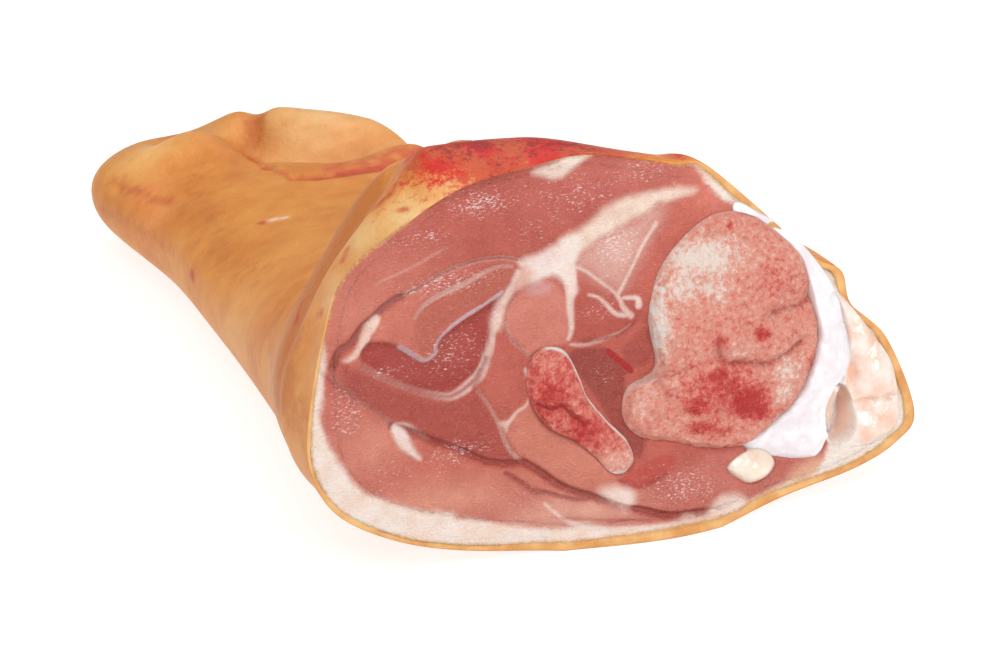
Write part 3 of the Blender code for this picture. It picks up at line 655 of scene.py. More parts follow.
class Paint:
    """A procedural material, with the base colour that is built up on it in layers."""

    def __init__(self, name, **sockets):
        self.material = bpy.data.materials.new(name)
        self.material.use_nodes = True
        self.tree = self.material.node_tree
        self.shader = self.tree.nodes["Principled BSDF"]
        for socket, value in sockets.items():
            self.set(socket.replace("_", " "), value)
        self.place = self.add("TexCoord", {}, "Object")
        self.colour = None

    def join(self, socket, value):
        if isinstance(value, bpy.types.NodeSocket):
            self.tree.links.new(value, socket)
        elif isinstance(value, tuple) and len(value) == 3 and socket.type == "RGBA":
            socket.default_value = (*value, 1.0)
        else:
            socket.default_value = value

    def set(self, socket, value):
        self.join(self.shader.inputs[socket], value)

    def add(self, kind, inputs, output=0, **settings):
        """Add a node, set it up, feed its inputs and return one of its outputs."""
        node = self.tree.nodes.new("ShaderNode" + kind)
        for setting, value in settings.items():
            setattr(node, setting, value)
        for socket, value in inputs.items():
            self.join(node.inputs[socket], value)
        return node.outputs[output]

    def attribute(self, name, output="Fac"):
        return self.add("Attribute", {}, output, attribute_name=name)

    def noise(self, size, detail=3.0, rough=0.55, stretch=None, twist=0.0):
        """Noise between 0 and 1 with features of the given size in mm."""
        vector = self.place
        if stretch:
            mapping = {"Vector": vector, "Scale": stretch, "Rotation": (0.0, twist, 0.0)}
            vector = self.add("Mapping", mapping, "Vector")
        scale = 1.0 / (size * MM)
        inputs = {"Vector": vector, "Scale": scale, "Detail": detail, "Roughness": rough}
        return self.add("TexNoise", inputs, "Fac")

    def cells(self, size):
        inputs = {"Vector": self.place, "Scale": 1.0 / (size * MM)}
        return self.add("TexVoronoi", inputs, "Distance")

    def math(self, operation, a, b):
        return self.add("Math", {0: a, 1: b}, operation=operation)

    def ragged(self, name, noise, strength):
        """A vertex attribute with its edge broken up by noise."""
        wobble = self.math("MULTIPLY", self.math("SUBTRACT", noise, 0.5), strength)
        return self.math("ADD", self.attribute(name), wobble)

    def ease(self, value, low, high, start=0.0, end=1.0):
        """Go smoothly from start to end while the value goes from low to high."""
        inputs = {"Value": value, "From Min": low, "From Max": high, "To Min": start, "To Max": end}
        return self.add("MapRange", inputs, "Result", interpolation_type="SMOOTHSTEP")

    def mix(self, share, a, b, blend="MIX"):
        return self.add("Mix", {0: share, 6: a, 7: b}, 2, data_type="RGBA", blend_type=blend)

    def cover(self, colour, share):
        """Lay a colour over what is there."""
        self.colour = self.mix(share, self.colour, colour)

    def darken(self, colour, share):
        """Multiply what is there by a colour."""
        self.cover(self.mix(1.0, self.colour, colour, "MULTIPLY"), share)

    def finish(self, *layers):
        """Set the base colour and a bump from (height, depth in mm) layers."""
        self.set("Base Color", self.colour)
        inputs = {}
        for height, depth in layers:
            inputs = {**inputs, "Height": height, "Distance": depth * MM}
            inputs = {"Normal": self.add("Bump", inputs, "Normal")}
        for socket in ("Normal", "Coat Normal"):
            self.set(socket, inputs["Normal"])
        return self.material


def skin_material():
    p = Paint(
        "skin", Roughness=0.5, Specular_IOR_Level=0.28, Coat_Weight=0.06, Coat_Roughness=0.3,
        Subsurface_Weight=0.22, Subsurface_Scale=0.003, Subsurface_Radius=(1.0, 0.4, 0.2),
    )
    mid = p.noise(7.0, 4.0)
    fine = p.noise(1.2)
    p.colour = p.mix(p.ease(p.noise(26.0), 0.35, 0.65), (0.60, 0.18, 0.020), (0.71, 0.27, 0.045))
    # Colour patches, the near lobe's pale top partly painted highlight.
    p.cover(p.attribute("tint_and_highlight", "Color"), p.attribute("tint_and_highlight_weight"))
    p.darken((0.84, 0.66, 0.50), p.ease(mid, 0.40, 0.75, 0.0, 0.5))
    p.cover((0.84, 0.46, 0.13), p.ease(mid, 0.25, 0.42, 0.18, 0.0))
    # Brown stains, and painted shade behind the flare's left shoulder.
    stain_and_shade = p.ragged("stain_and_shade", p.noise(4.0, 5.0, 0.65), 1.2)
    p.cover((0.50, 0.150, 0.028), p.ease(stain_and_shade, 0.15, 0.9, 0.0, 0.9))
    pores = p.cells(1.5)
    p.darken((0.70, 0.52, 0.40), p.ease(pores, 0.0, 0.32, 0.3, 0.0))
    p.cover((0.50, 0.18, 0.05), p.ease(fine, 0.64, 0.76, 0.0, 0.25))
    blood = p.ragged("bruise", p.noise(2.6, 6.0, 0.85), 2.4)
    bruise = p.mix(p.ease(p.noise(9.0, 4.0), 0.40, 0.60), (0.56, 0.012, 0.010), (0.50, 0.075, 0.026))
    p.cover(bruise, p.ease(blood, 0.25, 0.70, 0.0, 0.97))
    clots = p.math("ADD", blood, p.noise(0.9))
    p.cover((0.24, 0.008, 0.008), p.ease(clots, 1.45, 1.8, 0.0, 0.8))
    cut = p.mix(p.ease(mid, 0.3, 0.7), (0.58, 0.26, 0.075), (0.72, 0.42, 0.17))
    p.cover(cut, p.ease(p.ragged("cut", fine, 0.5), 0.3, 0.8))
    # Red creases and marks, darker as painted shade in the valley and clefts between the lobes.
    crease_and_shade = p.ragged("crease_and_shade", p.noise(3.5, 4.0), 0.9)
    p.cover((0.50, 0.055, 0.022), p.ease(crease_and_shade, 0.12, 0.95, 0.0, 0.9))
    p.cover((0.92, 0.66, 0.52), p.attribute("scratch"))
    return p.finish((p.noise(5.0), 0.5), (p.noise(0.9, 3.0, 0.6), 0.14), (pores, 0.10))


def face_material():
    p = Paint(
        "sawn_face", Roughness=0.36, Specular_IOR_Level=0.35, Coat_Weight=0.35, Coat_Roughness=0.1,
        Subsurface_Weight=0.2, Subsurface_Scale=0.0025, Subsurface_Radius=(1.0, 0.35, 0.22),
    )
    edge = p.noise(1.3, 4.0, 0.6)
    fine = p.noise(0.7, 3.0, 0.6)
    grain = p.noise(0.8, 4.0, 0.6, (1.0, 1.0, 3.0), 0.55)
    streak = p.noise(0.9, 5.0, 0.65, (1.0, 1.0, 2.6), 0.6)
    p.colour = p.attribute("tone", "Color")
    p.darken((0.90, 0.80, 0.78), p.ease(p.noise(8.0), 0.3, 0.7, 1.0, 0.0))
    p.cover((0.82, 0.46, 0.38), p.ease(grain, 0.52, 0.80, 0.0, 0.25))
    p.darken((0.74, 0.58, 0.54), p.ease(grain, 0.25, 0.45, 0.30, 0.0))
    # Dark seams: their own colour and painted shade in the grooves.
    p.cover((0.32, 0.040, 0.030), p.ease(p.ragged("dark", edge, 0.5), 0.2, 1.3, 0.0, 0.75))
    p.cover((0.60, 0.46, 0.50), p.ease(p.ragged("blue", edge, 0.5), 0.2, 0.9, 0.0, 0.75))
    fat = p.mix(p.ease(p.noise(5.0, 4.0), 0.35, 0.7), (0.90, 0.77, 0.70), (0.86, 0.66, 0.55))
    p.cover(fat, p.ease(p.ragged("fat", edge, 0.5), 0.05, 0.85, 0.0, 0.97))
    rind = p.mix(p.ease(fine, 0.4, 0.65), (0.56, 0.26, 0.075), (0.72, 0.42, 0.17))
    p.cover(rind, p.ease(p.ragged("rind", edge, 1.6), -1.0, 0.6))
    p.cover((0.40, 0.01, 0.012), p.ease(p.ragged("blood", edge, 0.8), -0.1, 0.3))
    # Painted highlights: pale streaks, strongest at the glint spots.
    painted_glint = p.math("ADD", streak, p.math("MULTIPLY", p.attribute("painted_glint"), 0.17))
    p.cover((0.95, 0.80, 0.78), p.ease(painted_glint, 0.66, 0.78, 0.0, 0.8))
    p.set("Roughness", p.ease(p.noise(2.5), 0.35, 0.65, 0.24, 0.46))
    return p.finish((p.noise(3.5), 0.7), (grain, 0.35), (streak, 0.45), (fine, 0.12))


def bone_material():
    p = Paint(
        "sawn_bone", Roughness=0.5, Coat_Weight=0.2, Coat_Roughness=0.2,
        Subsurface_Weight=0.1, Subsurface_Scale=0.0015, Subsurface_Radius=(1.0, 0.45, 0.3),
    )
    grain = p.noise(1.5, 6.0, 0.8)
    fine = p.noise(0.55, 3.0, 0.7)
    marrow = p.ragged("red", grain, 2.3)
    p.colour = p.mix(p.ease(marrow, -0.20, 0.30), (0.96, 0.79, 0.70), (0.86, 0.34, 0.25))
    p.cover((0.72, 0.11, 0.085), p.ease(marrow, 0.30, 0.70))
    p.cover((0.54, 0.016, 0.014), p.ease(marrow, 0.62, 1.0))
    p.cover((0.90, 0.60, 0.50), p.ease(fine, 0.56, 0.72, 0.0, 0.22))
    p.cover((0.92, 0.80, 0.74), p.ease(p.ragged("white", grain, 0.805), 0.35, 0.7))
    p.cover((0.42, 0.028, 0.024), p.ease(p.ragged("pit", grain, 0.46), 0.2, 0.9))
    return p.finish((grain, 1.1), (fine, 0.35))


def gristle_material(name, pale, shade):
    p = Paint(
        name, Roughness=0.3, Coat_Weight=0.6, Coat_Roughness=0.08,
        Subsurface_Weight=0.35, Subsurface_Scale=0.004, Subsurface_Radius=(1.0, 0.7, 0.6),
    )
    broad = p.noise(6.0, 4.0)
    p.colour = p.mix(p.ease(broad, 0.35, 0.7), pale, shade)
    p.cover((0.95, 0.60, 0.46), p.ease(p.attribute("hollow"), 0.1, 0.9))
    return p.finish((broad, 0.8), (p.noise(1.2), 0.12))


# Patches of skin colour, the near lobe's pale top partly painted highlight: middle in millimetres, reach,
# colour, strength.
SKIN_TINTS_AND_HIGHLIGHT = [
    # Paler on the near lobe's top: partly painted highlight.
    ((-58, 88, 36), 20, (0.92, 0.53, 0.17), 0.95),
    ((-63, 69, 31), 13, (0.8, 0.24, 0.055), 0.8),
    ((-67, 55, 29), 11, (0.86, 0.32, 0.1), 0.85),
    ((-5, 76, 42), 30, (0.78, 0.48, 0.21), 0.95),
    ((2, 60, 44), 11, (0.78, 0.3, 0.09), 0.75),
    ((-40, 95, 38), 14, (0.76, 0.38, 0.12), 0.8),
    ((-8, 45, 40), 12, (0.74, 0.22, 0.055), 0.8),
    ((-40, 20, 42), 26, (0.74, 0.31, 0.05), 0.7),
    ((-45, -20, 40), 26, (0.72, 0.3, 0.045), 0.6),
    ((-69, -30, 31), 24, (0.78, 0.39, 0.13), 0.8),
    ((-67, 30, 26), 14, (0.74, 0.3, 0.08), 0.7),
    ((-77, -107, 37), 22, (0.7, 0.31, 0.085), 0.8),
    ((-57, -104, 83), 10, (0.74, 0.49, 0.21), 0.9),
    ((-46, -108, 88), 10, (0.75, 0.51, 0.23), 0.95),
    ((-33, -108, 92), 9, (0.74, 0.46, 0.2), 0.9),
    ((-66, -112, 72), 10, (0.75, 0.45, 0.21), 0.85),
    ((-72, -118, 58), 10, (0.76, 0.42, 0.21), 0.8),
    ((10, 60, 30), 22, (0.7, 0.34, 0.12), 0.8),
]
# Stains, from yellow-brown to brown, and painted shade in the hollow behind the flare's left shoulder: path
# in millimetres, half width, strength.
STAINS_AND_SHADE = [
    ([(-57, 47, 34), (-56, 35, 35), (-57, 20, 35), (-60, 5, 35), (-59, -8, 37), (-57, -20, 39)],
     7.0, 0.45),
    ([(-60, 22, 33), (-64, 24, 30)], 5, 0.4),
    # Painted shade with brown: the wide band down the hollow behind the flare's left shoulder.
    ([(-50, -84, 82), (-53, -86, 76), (-60, -87, 70), (-65, -90, 64), (-70, -91, 59),
      (-73, -96, 52), (-76, -98, 45)], 11.0, 1.05),
    ([(-49, -95, 88), (-52, -80, 80), (-50, -62, 66)], 6, 0.6),
    ([(-76, -112, 44), (-77, -100, 36), (-76, -80, 34)], 8, 0.55),
    ([(-24, 90, 41), (-27, 83, 37), (-29, 78, 34), (-30, 72, 34)], 3.5, 1.3),
    ([(-68, -60, 42), (-72, -75, 42), (-75, -95, 40)], 6, 0.5),
    ([(-74, 90, 18), (-72, 78, 20), (-70, 64, 22), (-68, 49, 24), (-67, 35, 25)], 3, 0.45),
    ([(-42, 88, 39), (-36, 84, 38), (-33, 76, 36)], 4, 0.5),
]
# Red creases and marks, with painted shade in the valley and clefts between the lobes: path, half width,
# strength, how deep the crease sinks in mm.
RED_MARKS = [
    # These along the valley and clefts between the lobes are partly painted shade.
    ([(-27, 41, 40), (-21, 38, 40), (-12, 38, 40), (-1, 39, 40), (6, 40, 40), (16, 42, 39)], 2.2, 0.8, 1.4),
    ([(-14, 39, 40), (-1, 39.5, 40), (8, 41, 40), (18, 43, 39)], 3.2, 0.95, 0),
    ([(-31, 58, 39), (-30, 50, 39), (-27, 41, 40)], 1.8, 0.55, 0.8),
    ([(-14, 44, 40), (0, 45, 40), (12, 46, 40), (20, 46, 38)], 6.5, 0.62, 0),
    ([(-69, 90, 27), (-68, 82, 28), (-65, 73, 29), (-63, 63, 30), (-61, 55, 32)], 3, 0.5, 0.5),
    ([(-24, 90, 41), (-27, 83, 37), (-29, 78, 34), (-31, 68, 35), (-31, 56, 38)], 1.8, 0.75, 1.4),
    ([(-49, 67, 37), (-53, 57, 35), (-55, 50, 34)], 4.5, 0.3, 0),
    ([(-47, -99, 91), (-52, -98, 87)], 1.6, 0.75, 0),
    ([(-52, -77, 78), (-50, -70, 72)], 1.5, 0.55, 0),
    ([(-63, -89, 65), (-65, -91, 63)], 1.5, 0.65, 0),
    ([(-67, -89, 61), (-70, -92, 58)], 1.5, 0.7, 0),
    ([(-69, -110, 68), (-70, -108, 66)], 1.5, 0.6, 0),
    ([(-66, 16, 26), (-67, 13, 26)], 1.5, 0.8, 0),
    ([(-48, -105, 89), (-45, -107, 89)], 1.2, 0.7, 0),
    ([(-43, -110, 89), (-42, -110, 90)], 1.2, 0.7, 0),
    ([(-60, -103, 80), (-62, -106, 78)], 1.2, 0.7, 0),
    ([(-46.5, 11, 40), (-46, 11, 40)], 1.3, 1.1, 0),
]
SCRATCH = [(-44, 11, 41), (-40, 9, 42)]
# Bruise on the crest of the thigh: middle, reach, strength.
BRUISES = [
    ((-26, -97, 97), (17, 12, 14), 1.35),
    ((-22, -106, 96), (14, 8, 8), 1.1),
    ((-6, -100, 97), (20, 14, 12), 1.25),
    ((3, -106, 97), (13, 7, 8), 1.1),
    ((16, -103, 96), (8, 6, 6), 0.7),
    ((27, -103, 93), (6, 5, 5), 0.85),
]
# The visual skin's own form: rows of rings where the hollow behind the flare's shoulder is
# filled, by how much at most, passes of smoothing along the leg, and the crest's pointed tip.
FLARE_ROWS = (4, 58)
FLARE_AXIS = (0, 0, 40)
FLARE_LEAST_RUN = 5.0
FLARE_MOST_FILL = 5.0
SMOOTHING_PASSES = 60
CREST_TIP = (-38, -88)
CREST_TIP_REACH = (4.5, 8)
CREST_TIP_RISE = 3.6
CREASE_SPREAD = 1.3
SKIN_BASE = (0.68, 0.27, 0.05)
# How browned the rind's cut edge is, by direction from the face's centre.
CUT_EDGE = [(-180, 1), (0, 1), (50, 1), (80, 0.15), (150, 0.15), (172, 0.8), (180, 1)]


def mark(points, path, half):
    """1 on a path, fading over the half width."""
    return bell(distance_to_path(points, path) / half)


def marks(points, table):
    """The strongest of a table's marks at each point: path, half width, strength."""
    return np.max([strength * mark(points, path, half) for path, half, strength, *_ in table], axis=0)


def fill_flare(rings):
    """Fill the shallow hollow behind the flare's left shoulder."""
    first, last = FLARE_ROWS
    flare = rings[first:last]
    run = rings[last] - rings[first]
    share = (flare[..., 1] - rings[first, :, 1]) / np.maximum(run[:, 1], FLARE_LEAST_RUN)
    hollow = rings[first] + run * share[..., None] - flare
    outward = (flare - FLARE_AXIS) * (1.0, 0.0, 1.0)
    outward /= np.linalg.norm(outward, axis=-1)[..., None]
    x, z = flare[..., 0], flare[..., 2]
    # Left of X = -30, and between Z = 14 and 92.
    shoulder = smooth((-30.0 - x) / 16.0) * smooth((z - 14.0) / 16.0) * smooth((92.0 - z) / 10.0)
    fill = np.clip((hollow * outward).sum(axis=-1), 0.0, FLARE_MOST_FILL) * shoulder
    flare += outward * fill[..., None]


def smooth_along(rings, places):
    """Smooth the rings along the leg, near the rim only."""
    free = smooth(places / 8.0) * (1.0 - smooth((places - 60.0) / 20.0))
    for _ in range(SMOOTHING_PASSES):
        bend = rings[:-2] - 2.0 * rings[1:-1] + rings[2:]
        rings[1:-1] += 0.25 * free[1:-1, None, None] * bend


def rim_front(rim):
    """Rings of the rind's cut edge, from inside the leg out to the rim, and their directions."""
    inward = np.insert(FACE_CENTRE - rim[:, [0, 2]], 1, 0.0, axis=1)
    inward /= np.linalg.norm(inward, axis=1)[:, None]
    inward[:, 1] = inward[:, 2] * FACE_LEAN
    directions = np.arctan2(-inward[:, 2], -inward[:, 0])
    thick = rind_depth(directions)[:, None]
    front = [rim + inward * thick * share for share in (0.3, 0.65, 1.0)]
    high = smooth((rim[:, 2] - 50.0) / 20.0)[:, None]
    edge = front[-1]
    for back in (3.0, 9.0):
        sunk = np.array([0.0, back, 0.0]) * (1.0 - 0.6 * high)
        front.append(edge + sunk + inward * (0.2 * back * high))
    return np.array(front[::-1]), directions


def make_skin(material):
    heel = LEG_LENGTH - HEEL_ROUNDING
    quarter = np.linspace(0.0, np.pi / 2, 25)[:-1]
    places = np.concatenate([
        np.linspace(0.0, 60.0, 60, endpoint=False),
        np.linspace(60.0, heel, 84, endpoint=False),
        heel + HEEL_ROUNDING * np.sin(quarter),
    ])
    rings = fold_skin(np.array([leg_ring(distance, SKIN_AROUND) for distance in places]))
    fill_flare(rings)
    smooth_along(rings, places)
    tip = CREST_TIP_RISE * blob(rings[..., :2], CREST_TIP, CREST_TIP_REACH)
    rings[..., 2] += tip * smooth((rings[..., 2] - 60.0) / 20.0)
    front, directions = rim_front(rings[0])
    crease_and_shade = marks(np.concatenate([front, rings]), RED_MARKS)
    for path, half, _, deep in RED_MARKS:
        rings[..., 2] -= deep * mark(rings, path, CREASE_SPREAD * half)
    points = np.concatenate([front, rings])
    thing = ring_mesh("leg_skin", points, material)
    tint_and_highlight = np.tile(np.array(SKIN_BASE), (*points.shape[:2], 1))
    weight = np.zeros(points.shape[:2])
    for middle, reach, colour, strength in SKIN_TINTS_AND_HIGHLIGHT:
        share = strength * blob(points, middle, reach)
        tint_and_highlight = toward(tint_and_highlight, colour, share)
        weight = np.maximum(weight, share)
    rim_cut = np.interp(np.degrees(directions), *zip(*CUT_EDGE))
    behind_rim = 0.5 * (1.0 - smooth(places / 1.5))
    bruises = [strength * blob(points, middle, reach) for middle, reach, strength in BRUISES]
    give(thing, "stain_and_shade", marks(points, STAINS_AND_SHADE))
    give(thing, "scratch", mark(points, SCRATCH, 1.0))
    give(thing, "tint_and_highlight", tint_and_highlight)
    give(thing, "tint_and_highlight_weight", weight)
    give(thing, "bruise", np.max(bruises, axis=0))
    give(thing, "crease_and_shade", crease_and_shade)
    give(thing, "cut", np.concatenate([np.ones(len(front)), behind_rim])[:, None] * rim_cut)
    return thing


def core_outline():
    """The meat's edge in X and Z, unit arms toward it from the face's centre, and the rim's reach."""
    angles = np.linspace(0.0, 2 * np.pi, FACE_AROUND, endpoint=False)
    reach = radius_at(RIM, FACE_CENTRE, angles)
    unit = np.stack([np.cos(angles), np.sin(angles)], -1)
    return FACE_CENTRE + unit * (reach - fat_depth(angles))[:, None], unit, reach


def near_top(z):
    """1 at the top of the face, where the skin behind it is close, and 0 lower down."""
    return smooth((z - 62.0) / 15.0)


def face_piece(name, flat, material, hide, rows, closed=False):
    """A part of the sawn face through flat points in X and Z.

    hide makes the rings hidden behind its front; rows says which row's looks each takes.
    """
    x, z = flat[..., 0], flat[..., 1]
    relief, looks = face_looks(np.stack([x, np.zeros_like(x), z], axis=-1))
    y = FACE_Y + FACE_LEAN * z - lip_at(x, z) - relief
    front = np.stack([x, y, np.maximum(z, 0.05)], axis=-1)
    thing = ring_mesh(name, np.concatenate([front, hide(front)]), material, closed)
    for look, values in looks.items():
        give(thing, look, np.concatenate([values, values[rows]]))
    return thing


def meat_sides(front):
    edge = front[-1]
    middle = edge.mean(axis=0)
    sides = []
    for back, share in ((3.0, 0.985), (12.0, 0.93), (26.0, 0.8)):
        side = middle + (edge - middle) * share
        side[:, 1] = edge[:, 1] + back
        side[:, 2] -= 0.45 * back * near_top(side[:, 2])
        sides.append(side)
    return sides


def make_meat(material):
    outline = core_outline()[0]
    shares = np.linspace(0.004, 1.0, 125)
    flat = FACE_CENTRE + (outline - FACE_CENTRE) * shares[:, None, None]
    return face_piece("leg_meat", flat, material, meat_sides, [-1, -1, -1])


def fat_back(front):
    rings = front[[-1, 0]] + np.array([0.0, 6.0, 0.0])
    rings[..., 2] -= 3.0 * near_top(rings[..., 2])
    return rings


def make_fat(material):
    outline, unit, reach = core_outline()
    angles = np.arctan2(unit[:, 1], unit[:, 0])
    starts = FACE_CENTRE + unit * (reach - rind_depth(angles) + 0.3)[:, None]
    shares = np.linspace(0.0, 1.0, 22)
    flat = starts + (outline - unit * 0.4 - starts) * shares[:, None, None]
    return face_piece("fat_layer", flat, material, fat_back, [-1, 0], closed=True)


def rod_back(piece, outline):
    """Rings of a piece from just behind its sawn end to its far end."""
    centre = outline.mean(axis=0)
    arms = outline - centre
    angles = np.arctan2(arms[:, 1], arms[:, 0])
    half_width, half_height = piece.get("round", (0.0, 0.0))
    oval = np.stack([half_width * np.cos(angles), half_height * np.sin(angles)], axis=-1)
    length = piece["path"][-1][0]
    rings = []
    for distance in np.linspace(0.0, length, 2 + int(length / ROD_STEP)):
        shift_x, shift_z, scale, turned = table_at(piece["path"], distance)
        turned = np.clip(turned, 0.0, 1.0)
        x, z = (centre + (shift_x, shift_z) + arms * scale * (1.0 - turned) + oval * turned).T
        lean = FACE_LEAN * (1.0 - smooth(distance / FACE_BLEND))
        rings.append(np.stack([x, FACE_Y + distance + lean * z, z], axis=-1))
    return rings


def make_rod(piece, material, around, count, relief, looks):
    """A piece that starts in the sawn face: a fine sawn end and a plainer body behind."""
    rings = rod_back(piece, even_outline(piece["outline"], around))
    centre = rings[0].mean(axis=0)
    middle, rim = piece["crown"]
    front = []
    for share in np.sin(np.linspace(0.01, 1.0, count) * np.pi / 2):
        ring = centre + (rings[0] - centre) * (share * 0.985)
        rounding = 1.0 - smooth((share - 0.93) / 0.07) * 0.5
        ring[:, 1] -= rim * rounding + (middle - rim) * (1.0 - share ** 2)
        front.append(ring)
    front = np.array(front)
    front[..., 1] -= relief(front)
    points = np.concatenate([front, rings])
    thing = ring_mesh(piece["name"] + "_piece", points, material)
    for name, values in looks(points).items():
        give(thing, name, values)
    return thing


# Red marrow and pale bone in the sawn shin bone: middle in X and Z, reach, strength.
SHIN_RED = [
    ((47, 60), (13, 9), 0.5), ((40, 51), (12, 8), 0.42), ((33, 75), (11, 4), 0.28),
    ((29, 36), (15, 12), 0.72), ((38, 31), (8, 6), 1.15), ((41.5, 28), (4, 4), 1.1),
    ((29.5, 39.5), (5, 3.5), 1), ((33, 36), (5, 4), 0.95), ((23.5, 33), (5, 4), 0.95),
    ((25.5, 26.5), (6, 3), 0.85), ((42, 48.5), (3, 2.5), 1), ((36, 75.5), (1.5, 1.5), 0.8),
    ((30.5, 48.5), (3, 3), 0.7), ((57.5, 35.5), (3, 6), 0.7), ((47, 26.5), (5, 2.5), 0.6),
    ((22, 47), (5, 4), 0.35), ((31, 24), (6, 3), 0.7),
]
SHIN_PALE = [
    ((28, 68.5), (10, 4.5), 0.6), ((22.5, 63), (6, 5), 0.45), ((30, 61.5), (4, 4), 0.4),
    ((36, 70), (4, 3), 0.3), ((16, 55), (2.6, 10), 0.5), ((10, 34.5), (4, 5), 0.15),
    ((49, 38), (4, 3.5), 0.35), ((48.5, 32), (4, 3.5), 0.35), ((35, 44), (4, 2.5), 0.2),
]
BASE_RED = 0.36
# Cracks: line, half width, depth in mm, how dark.
SHIN_CRACKS = [
    ([(59.5, 53), (55.5, 52), (49.5, 52.5), (45, 52)], 1, 1.2, 0.55),
    ([(54, 43), (49, 41.5), (44.5, 40.5), (41, 40), (36.5, 41), (31.5, 42.5), (30, 47.5)], 1.2, 1.8, 0.6),
    ([(12, 41), (14.5, 39), (16, 35.5), (15, 30.5), (11.5, 27.5)], 0.7, 0.9, 0.25),
    ([(24, 71), (28, 73), (34, 73), (40, 71)], 0.8, 0.7, 0.15),
]
# Pale chips at the left edge: middle, reach.
CHIPS = [((15, 57), 1.2), ((15.5, 52), 1.6), ((15, 48), 1.4), ((13, 42.5), 1.6), ((17, 62), 1)]
CALF_CRACK = [(-17, 38), (-14, 36.5), (-11, 37), (-8.5, 34), (-6, 32)]
CALF_DISC = (1.5, 21.5)
SHIN_LOBES = [((49, 36), (7, 6), 1), ((10, 34.5), (5, 6), 1)]
CALF_RED = [((-14, 40), (5, 6), 1), ((-6, 30), (5, 4), 1.2)]
# Lobes and dips of the fat pad: middle in X and Z, reach, strength.
PAD_LOBES = [((77, 31), (4.5, 6.5), 1), ((76, 16), (6, 3.5), 0.8), ((73.5, 40), (3, 5), 0.6)]
PAD_DIPS = [((69.8, 30.5), (1.4, 4.5), 1), ((73.5, 23), (4, 1.2), 0.7), ((80.5, 23), (3, 1.2), 0.5)]


def is_behind(points):
    """Which points lie behind the sawn face."""
    return points[..., 1] > FACE_Y + FACE_LEAN * points[..., 2] + 0.5


def shin_looks(points):
    red = np.maximum(BASE_RED, spots(points, SHIN_RED)) - spots(points, SHIN_PALE)
    pit = np.zeros(red.shape)
    for line, half, _, dark in SHIN_CRACKS:
        pit = np.maximum(pit, dark * bell(distance_to_curve(points, line, BONE_STEPS) / half))
    white = 0.5 * (1.0 - smooth(inside_by(points, SHIN["outline"]) / 1.6))
    for middle, reach in CHIPS:
        white = np.maximum(white, blob(points[..., [0, 2]], middle, reach))
    return {"red": red, "white": np.where(is_behind(points), 1.0, white), "pit": pit}


def shin_relief(points):
    bump = 1.3 * noise(points, 9.0, 2) + 0.5 * noise(points, 2.2, 3)
    for line, half, deep, _ in SHIN_CRACKS:
        bump = bump - deep * bell(distance_to_curve(points, line, BONE_STEPS) / (1.4 * half))
    return bump + 1.2 * spots(points, SHIN_LOBES)


def calf_looks(points):
    x, z = points[..., 0], points[..., 2]
    red = 0.52 + 0.35 * spots(points, CALF_RED) - 0.30 * smooth((26.0 - z) / 6.0)
    crack = bell(distance_to_curve(points, CALF_CRACK, BONE_STEPS) / 0.6)
    disc = np.hypot(x - CALF_DISC[0], z - CALF_DISC[1])
    white = 0.4 * bell((disc - 1.6) / 1.6)
    side = smooth((x + 0.62 * (z - 34.0) + 6.0) / 6.0)
    edge = 1.0 - smooth(inside_by(points, CALF["outline"]) / 1.4)
    white = np.max([white, (0.35 + 0.55 * side) * edge, 0.8 * smooth((19.0 - z) / 2.0)], axis=0)
    return {"red": red, "white": np.where(is_behind(points), 1.0, white), "pit": 0.9 * crack}


def calf_relief(points):
    crack = bell(distance_to_curve(points, CALF_CRACK, BONE_STEPS))
    return 0.5 * noise(points, 5.0, 2) + 0.3 * noise(points, 1.6, 2) - 1.2 * crack


def cavity_share(points):
    arms = (points[..., [0, 2]] - CAVITY_CENTRE) / CAVITY_RADII
    return np.sqrt(np.maximum(1.0 - (arms ** 2).sum(axis=-1), 0.0))


def joint_relief(points):
    under = np.maximum(inside_by(points, SHIN["outline"]), inside_by(points, TENDON["outline"]))
    lumps = 1.3 * noise(points, 7.0, 3)
    return lumps - 7.0 * smooth(under / 2.0) - CAVITY_DEPTH * cavity_share(points)


def pad_relief(points):
    under = inside_by(points, CARTILAGE["outline"])
    lumps = 0.6 * noise(points, 6.0, 2) + 2.4 * spots(points, PAD_LOBES) - 3.2 * spots(points, PAD_DIPS)
    return lumps - 7.0 * smooth(under / 2.0) - CAVITY_DEPTH * cavity_share(points)


def tendon_relief(points):
    return 0.3 * noise(points, 4.0)


def hollow_looks(points):
    return {"hollow": np.maximum(cavity_share(points), 0.8 * spots(points, PAD_DIPS))}


def finish(thing, slot, *nodes):
    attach(thing, "root")
    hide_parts(*nodes)


face = face_material()
bone = bone_material()
cartilage = gristle_material("cartilage", (0.79, 0.76, 0.78), (0.73, 0.67, 0.70))
pad_fat = gristle_material("pad_fat", (0.78, 0.69, 0.63), (0.76, 0.48, 0.36))
tendon_white = gristle_material("tendon_white", (0.79, 0.71, 0.61), (0.76, 0.60, 0.47))

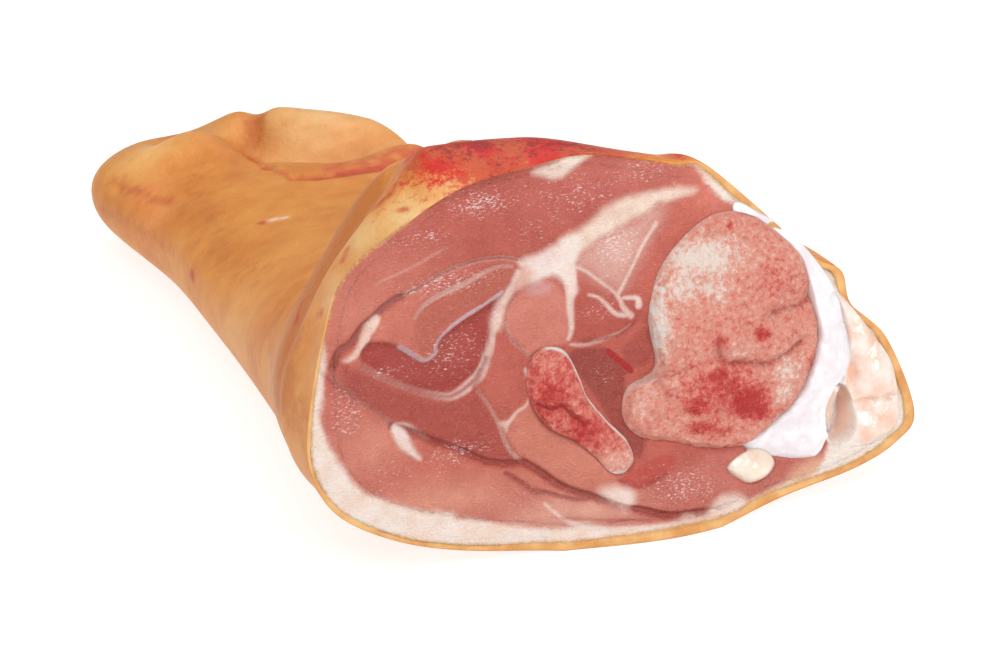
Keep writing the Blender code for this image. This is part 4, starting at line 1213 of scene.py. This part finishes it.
finish(make_skin(skin_material()), "rind", "rind_and_fat")
finish(make_fat(face), "rind", "rind_and_fat")
finish(make_meat(face), "meat", "meat")
finish(make_rod(SHIN, bone, 360, 90, shin_relief, shin_looks), "bone", "shin_bone")
finish(make_rod(CALF, bone, 240, 50, calf_relief, calf_looks), "bone", "calf_bone")
finish(make_rod(CARTILAGE, cartilage, 280, 70, joint_relief, hollow_looks), "cartilage", "knee_cartilage")
finish(make_rod(FAT_PAD, pad_fat, 240, 60, pad_relief, hollow_looks), "fat", "knee_fat_pad")
finish(make_rod(TENDON, tendon_white, 160, 40, tendon_relief, hollow_looks), "cartilage", "tendon")

bpy.ops.mesh.primitive_plane_add(size=4.0, location=(0.0, 0.0, 0.0))
floor = bpy.context.object
floor.name = "floor"
ground = Paint("ground", Roughness=0.9, Emission_Strength=0.84, Emission_Color=(1.0, 0.985, 0.965))
ground.set("Base Color", ground.mix(ground.noise(300.0), (0.27, 0.265, 0.26), (0.29, 0.285, 0.28)))
floor.data.materials.append(ground.material)

world = bpy.data.worlds.new("studio")
bpy.context.scene.world = world
world.use_nodes = True
background = world.node_tree.nodes["Background"]
background.inputs["Color"].default_value = (1.0, 1.0, 1.0, 1.0)
background.inputs["Strength"].default_value = 0.46

# Lights: name, place and aim in metres, size, power.
LIGHTS = [
    ("key", (-0.35, -0.55, 0.95), (0, 0, 0.03), (0.7, 0.5), 5.8),
    ("top", (0.25, 0.35, 1), (0, 0, 0.03), (0.9, 0.6), 3.6),
    ("front", (0.4, -1, 0.42), (0.02, -0.12, 0.05), (0.45, 0.3), 4.2),
]
CAMERA_AT = (-253.786, -680.303, 341.662)
AZIMUTH, ELEVATION = np.radians(-22.0), np.radians(25.0)


def stand(name, data, at, toward_aim):
    """Put a light or the camera in the scene, pointing along a direction."""
    thing = bpy.data.objects.new(name, data)
    bpy.context.scene.collection.objects.link(thing)
    thing.location = at
    thing.rotation_mode = "QUATERNION"
    thing.rotation_quaternion = Vector(toward_aim).to_track_quat("-Z", "Y")
    return thing


for name, at, aim, size, power in LIGHTS:
    light = bpy.data.lights.new(name, "AREA")
    light.shape = "RECTANGLE"
    light.size, light.size_y = size
    light.energy = power
    stand(name, light, at, Vector(aim) - Vector(at))

camera = bpy.data.cameras.new("camera")
camera.lens = 100.0
camera.sensor_width = 36.0
level = np.cos(ELEVATION)
ahead = (-np.sin(AZIMUTH) * level, np.cos(AZIMUTH) * level, -np.sin(ELEVATION))
bpy.context.scene.camera = stand("camera", camera, place(CAMERA_AT), ahead)
bpy.context.scene.view_settings.view_transform = "Standard"
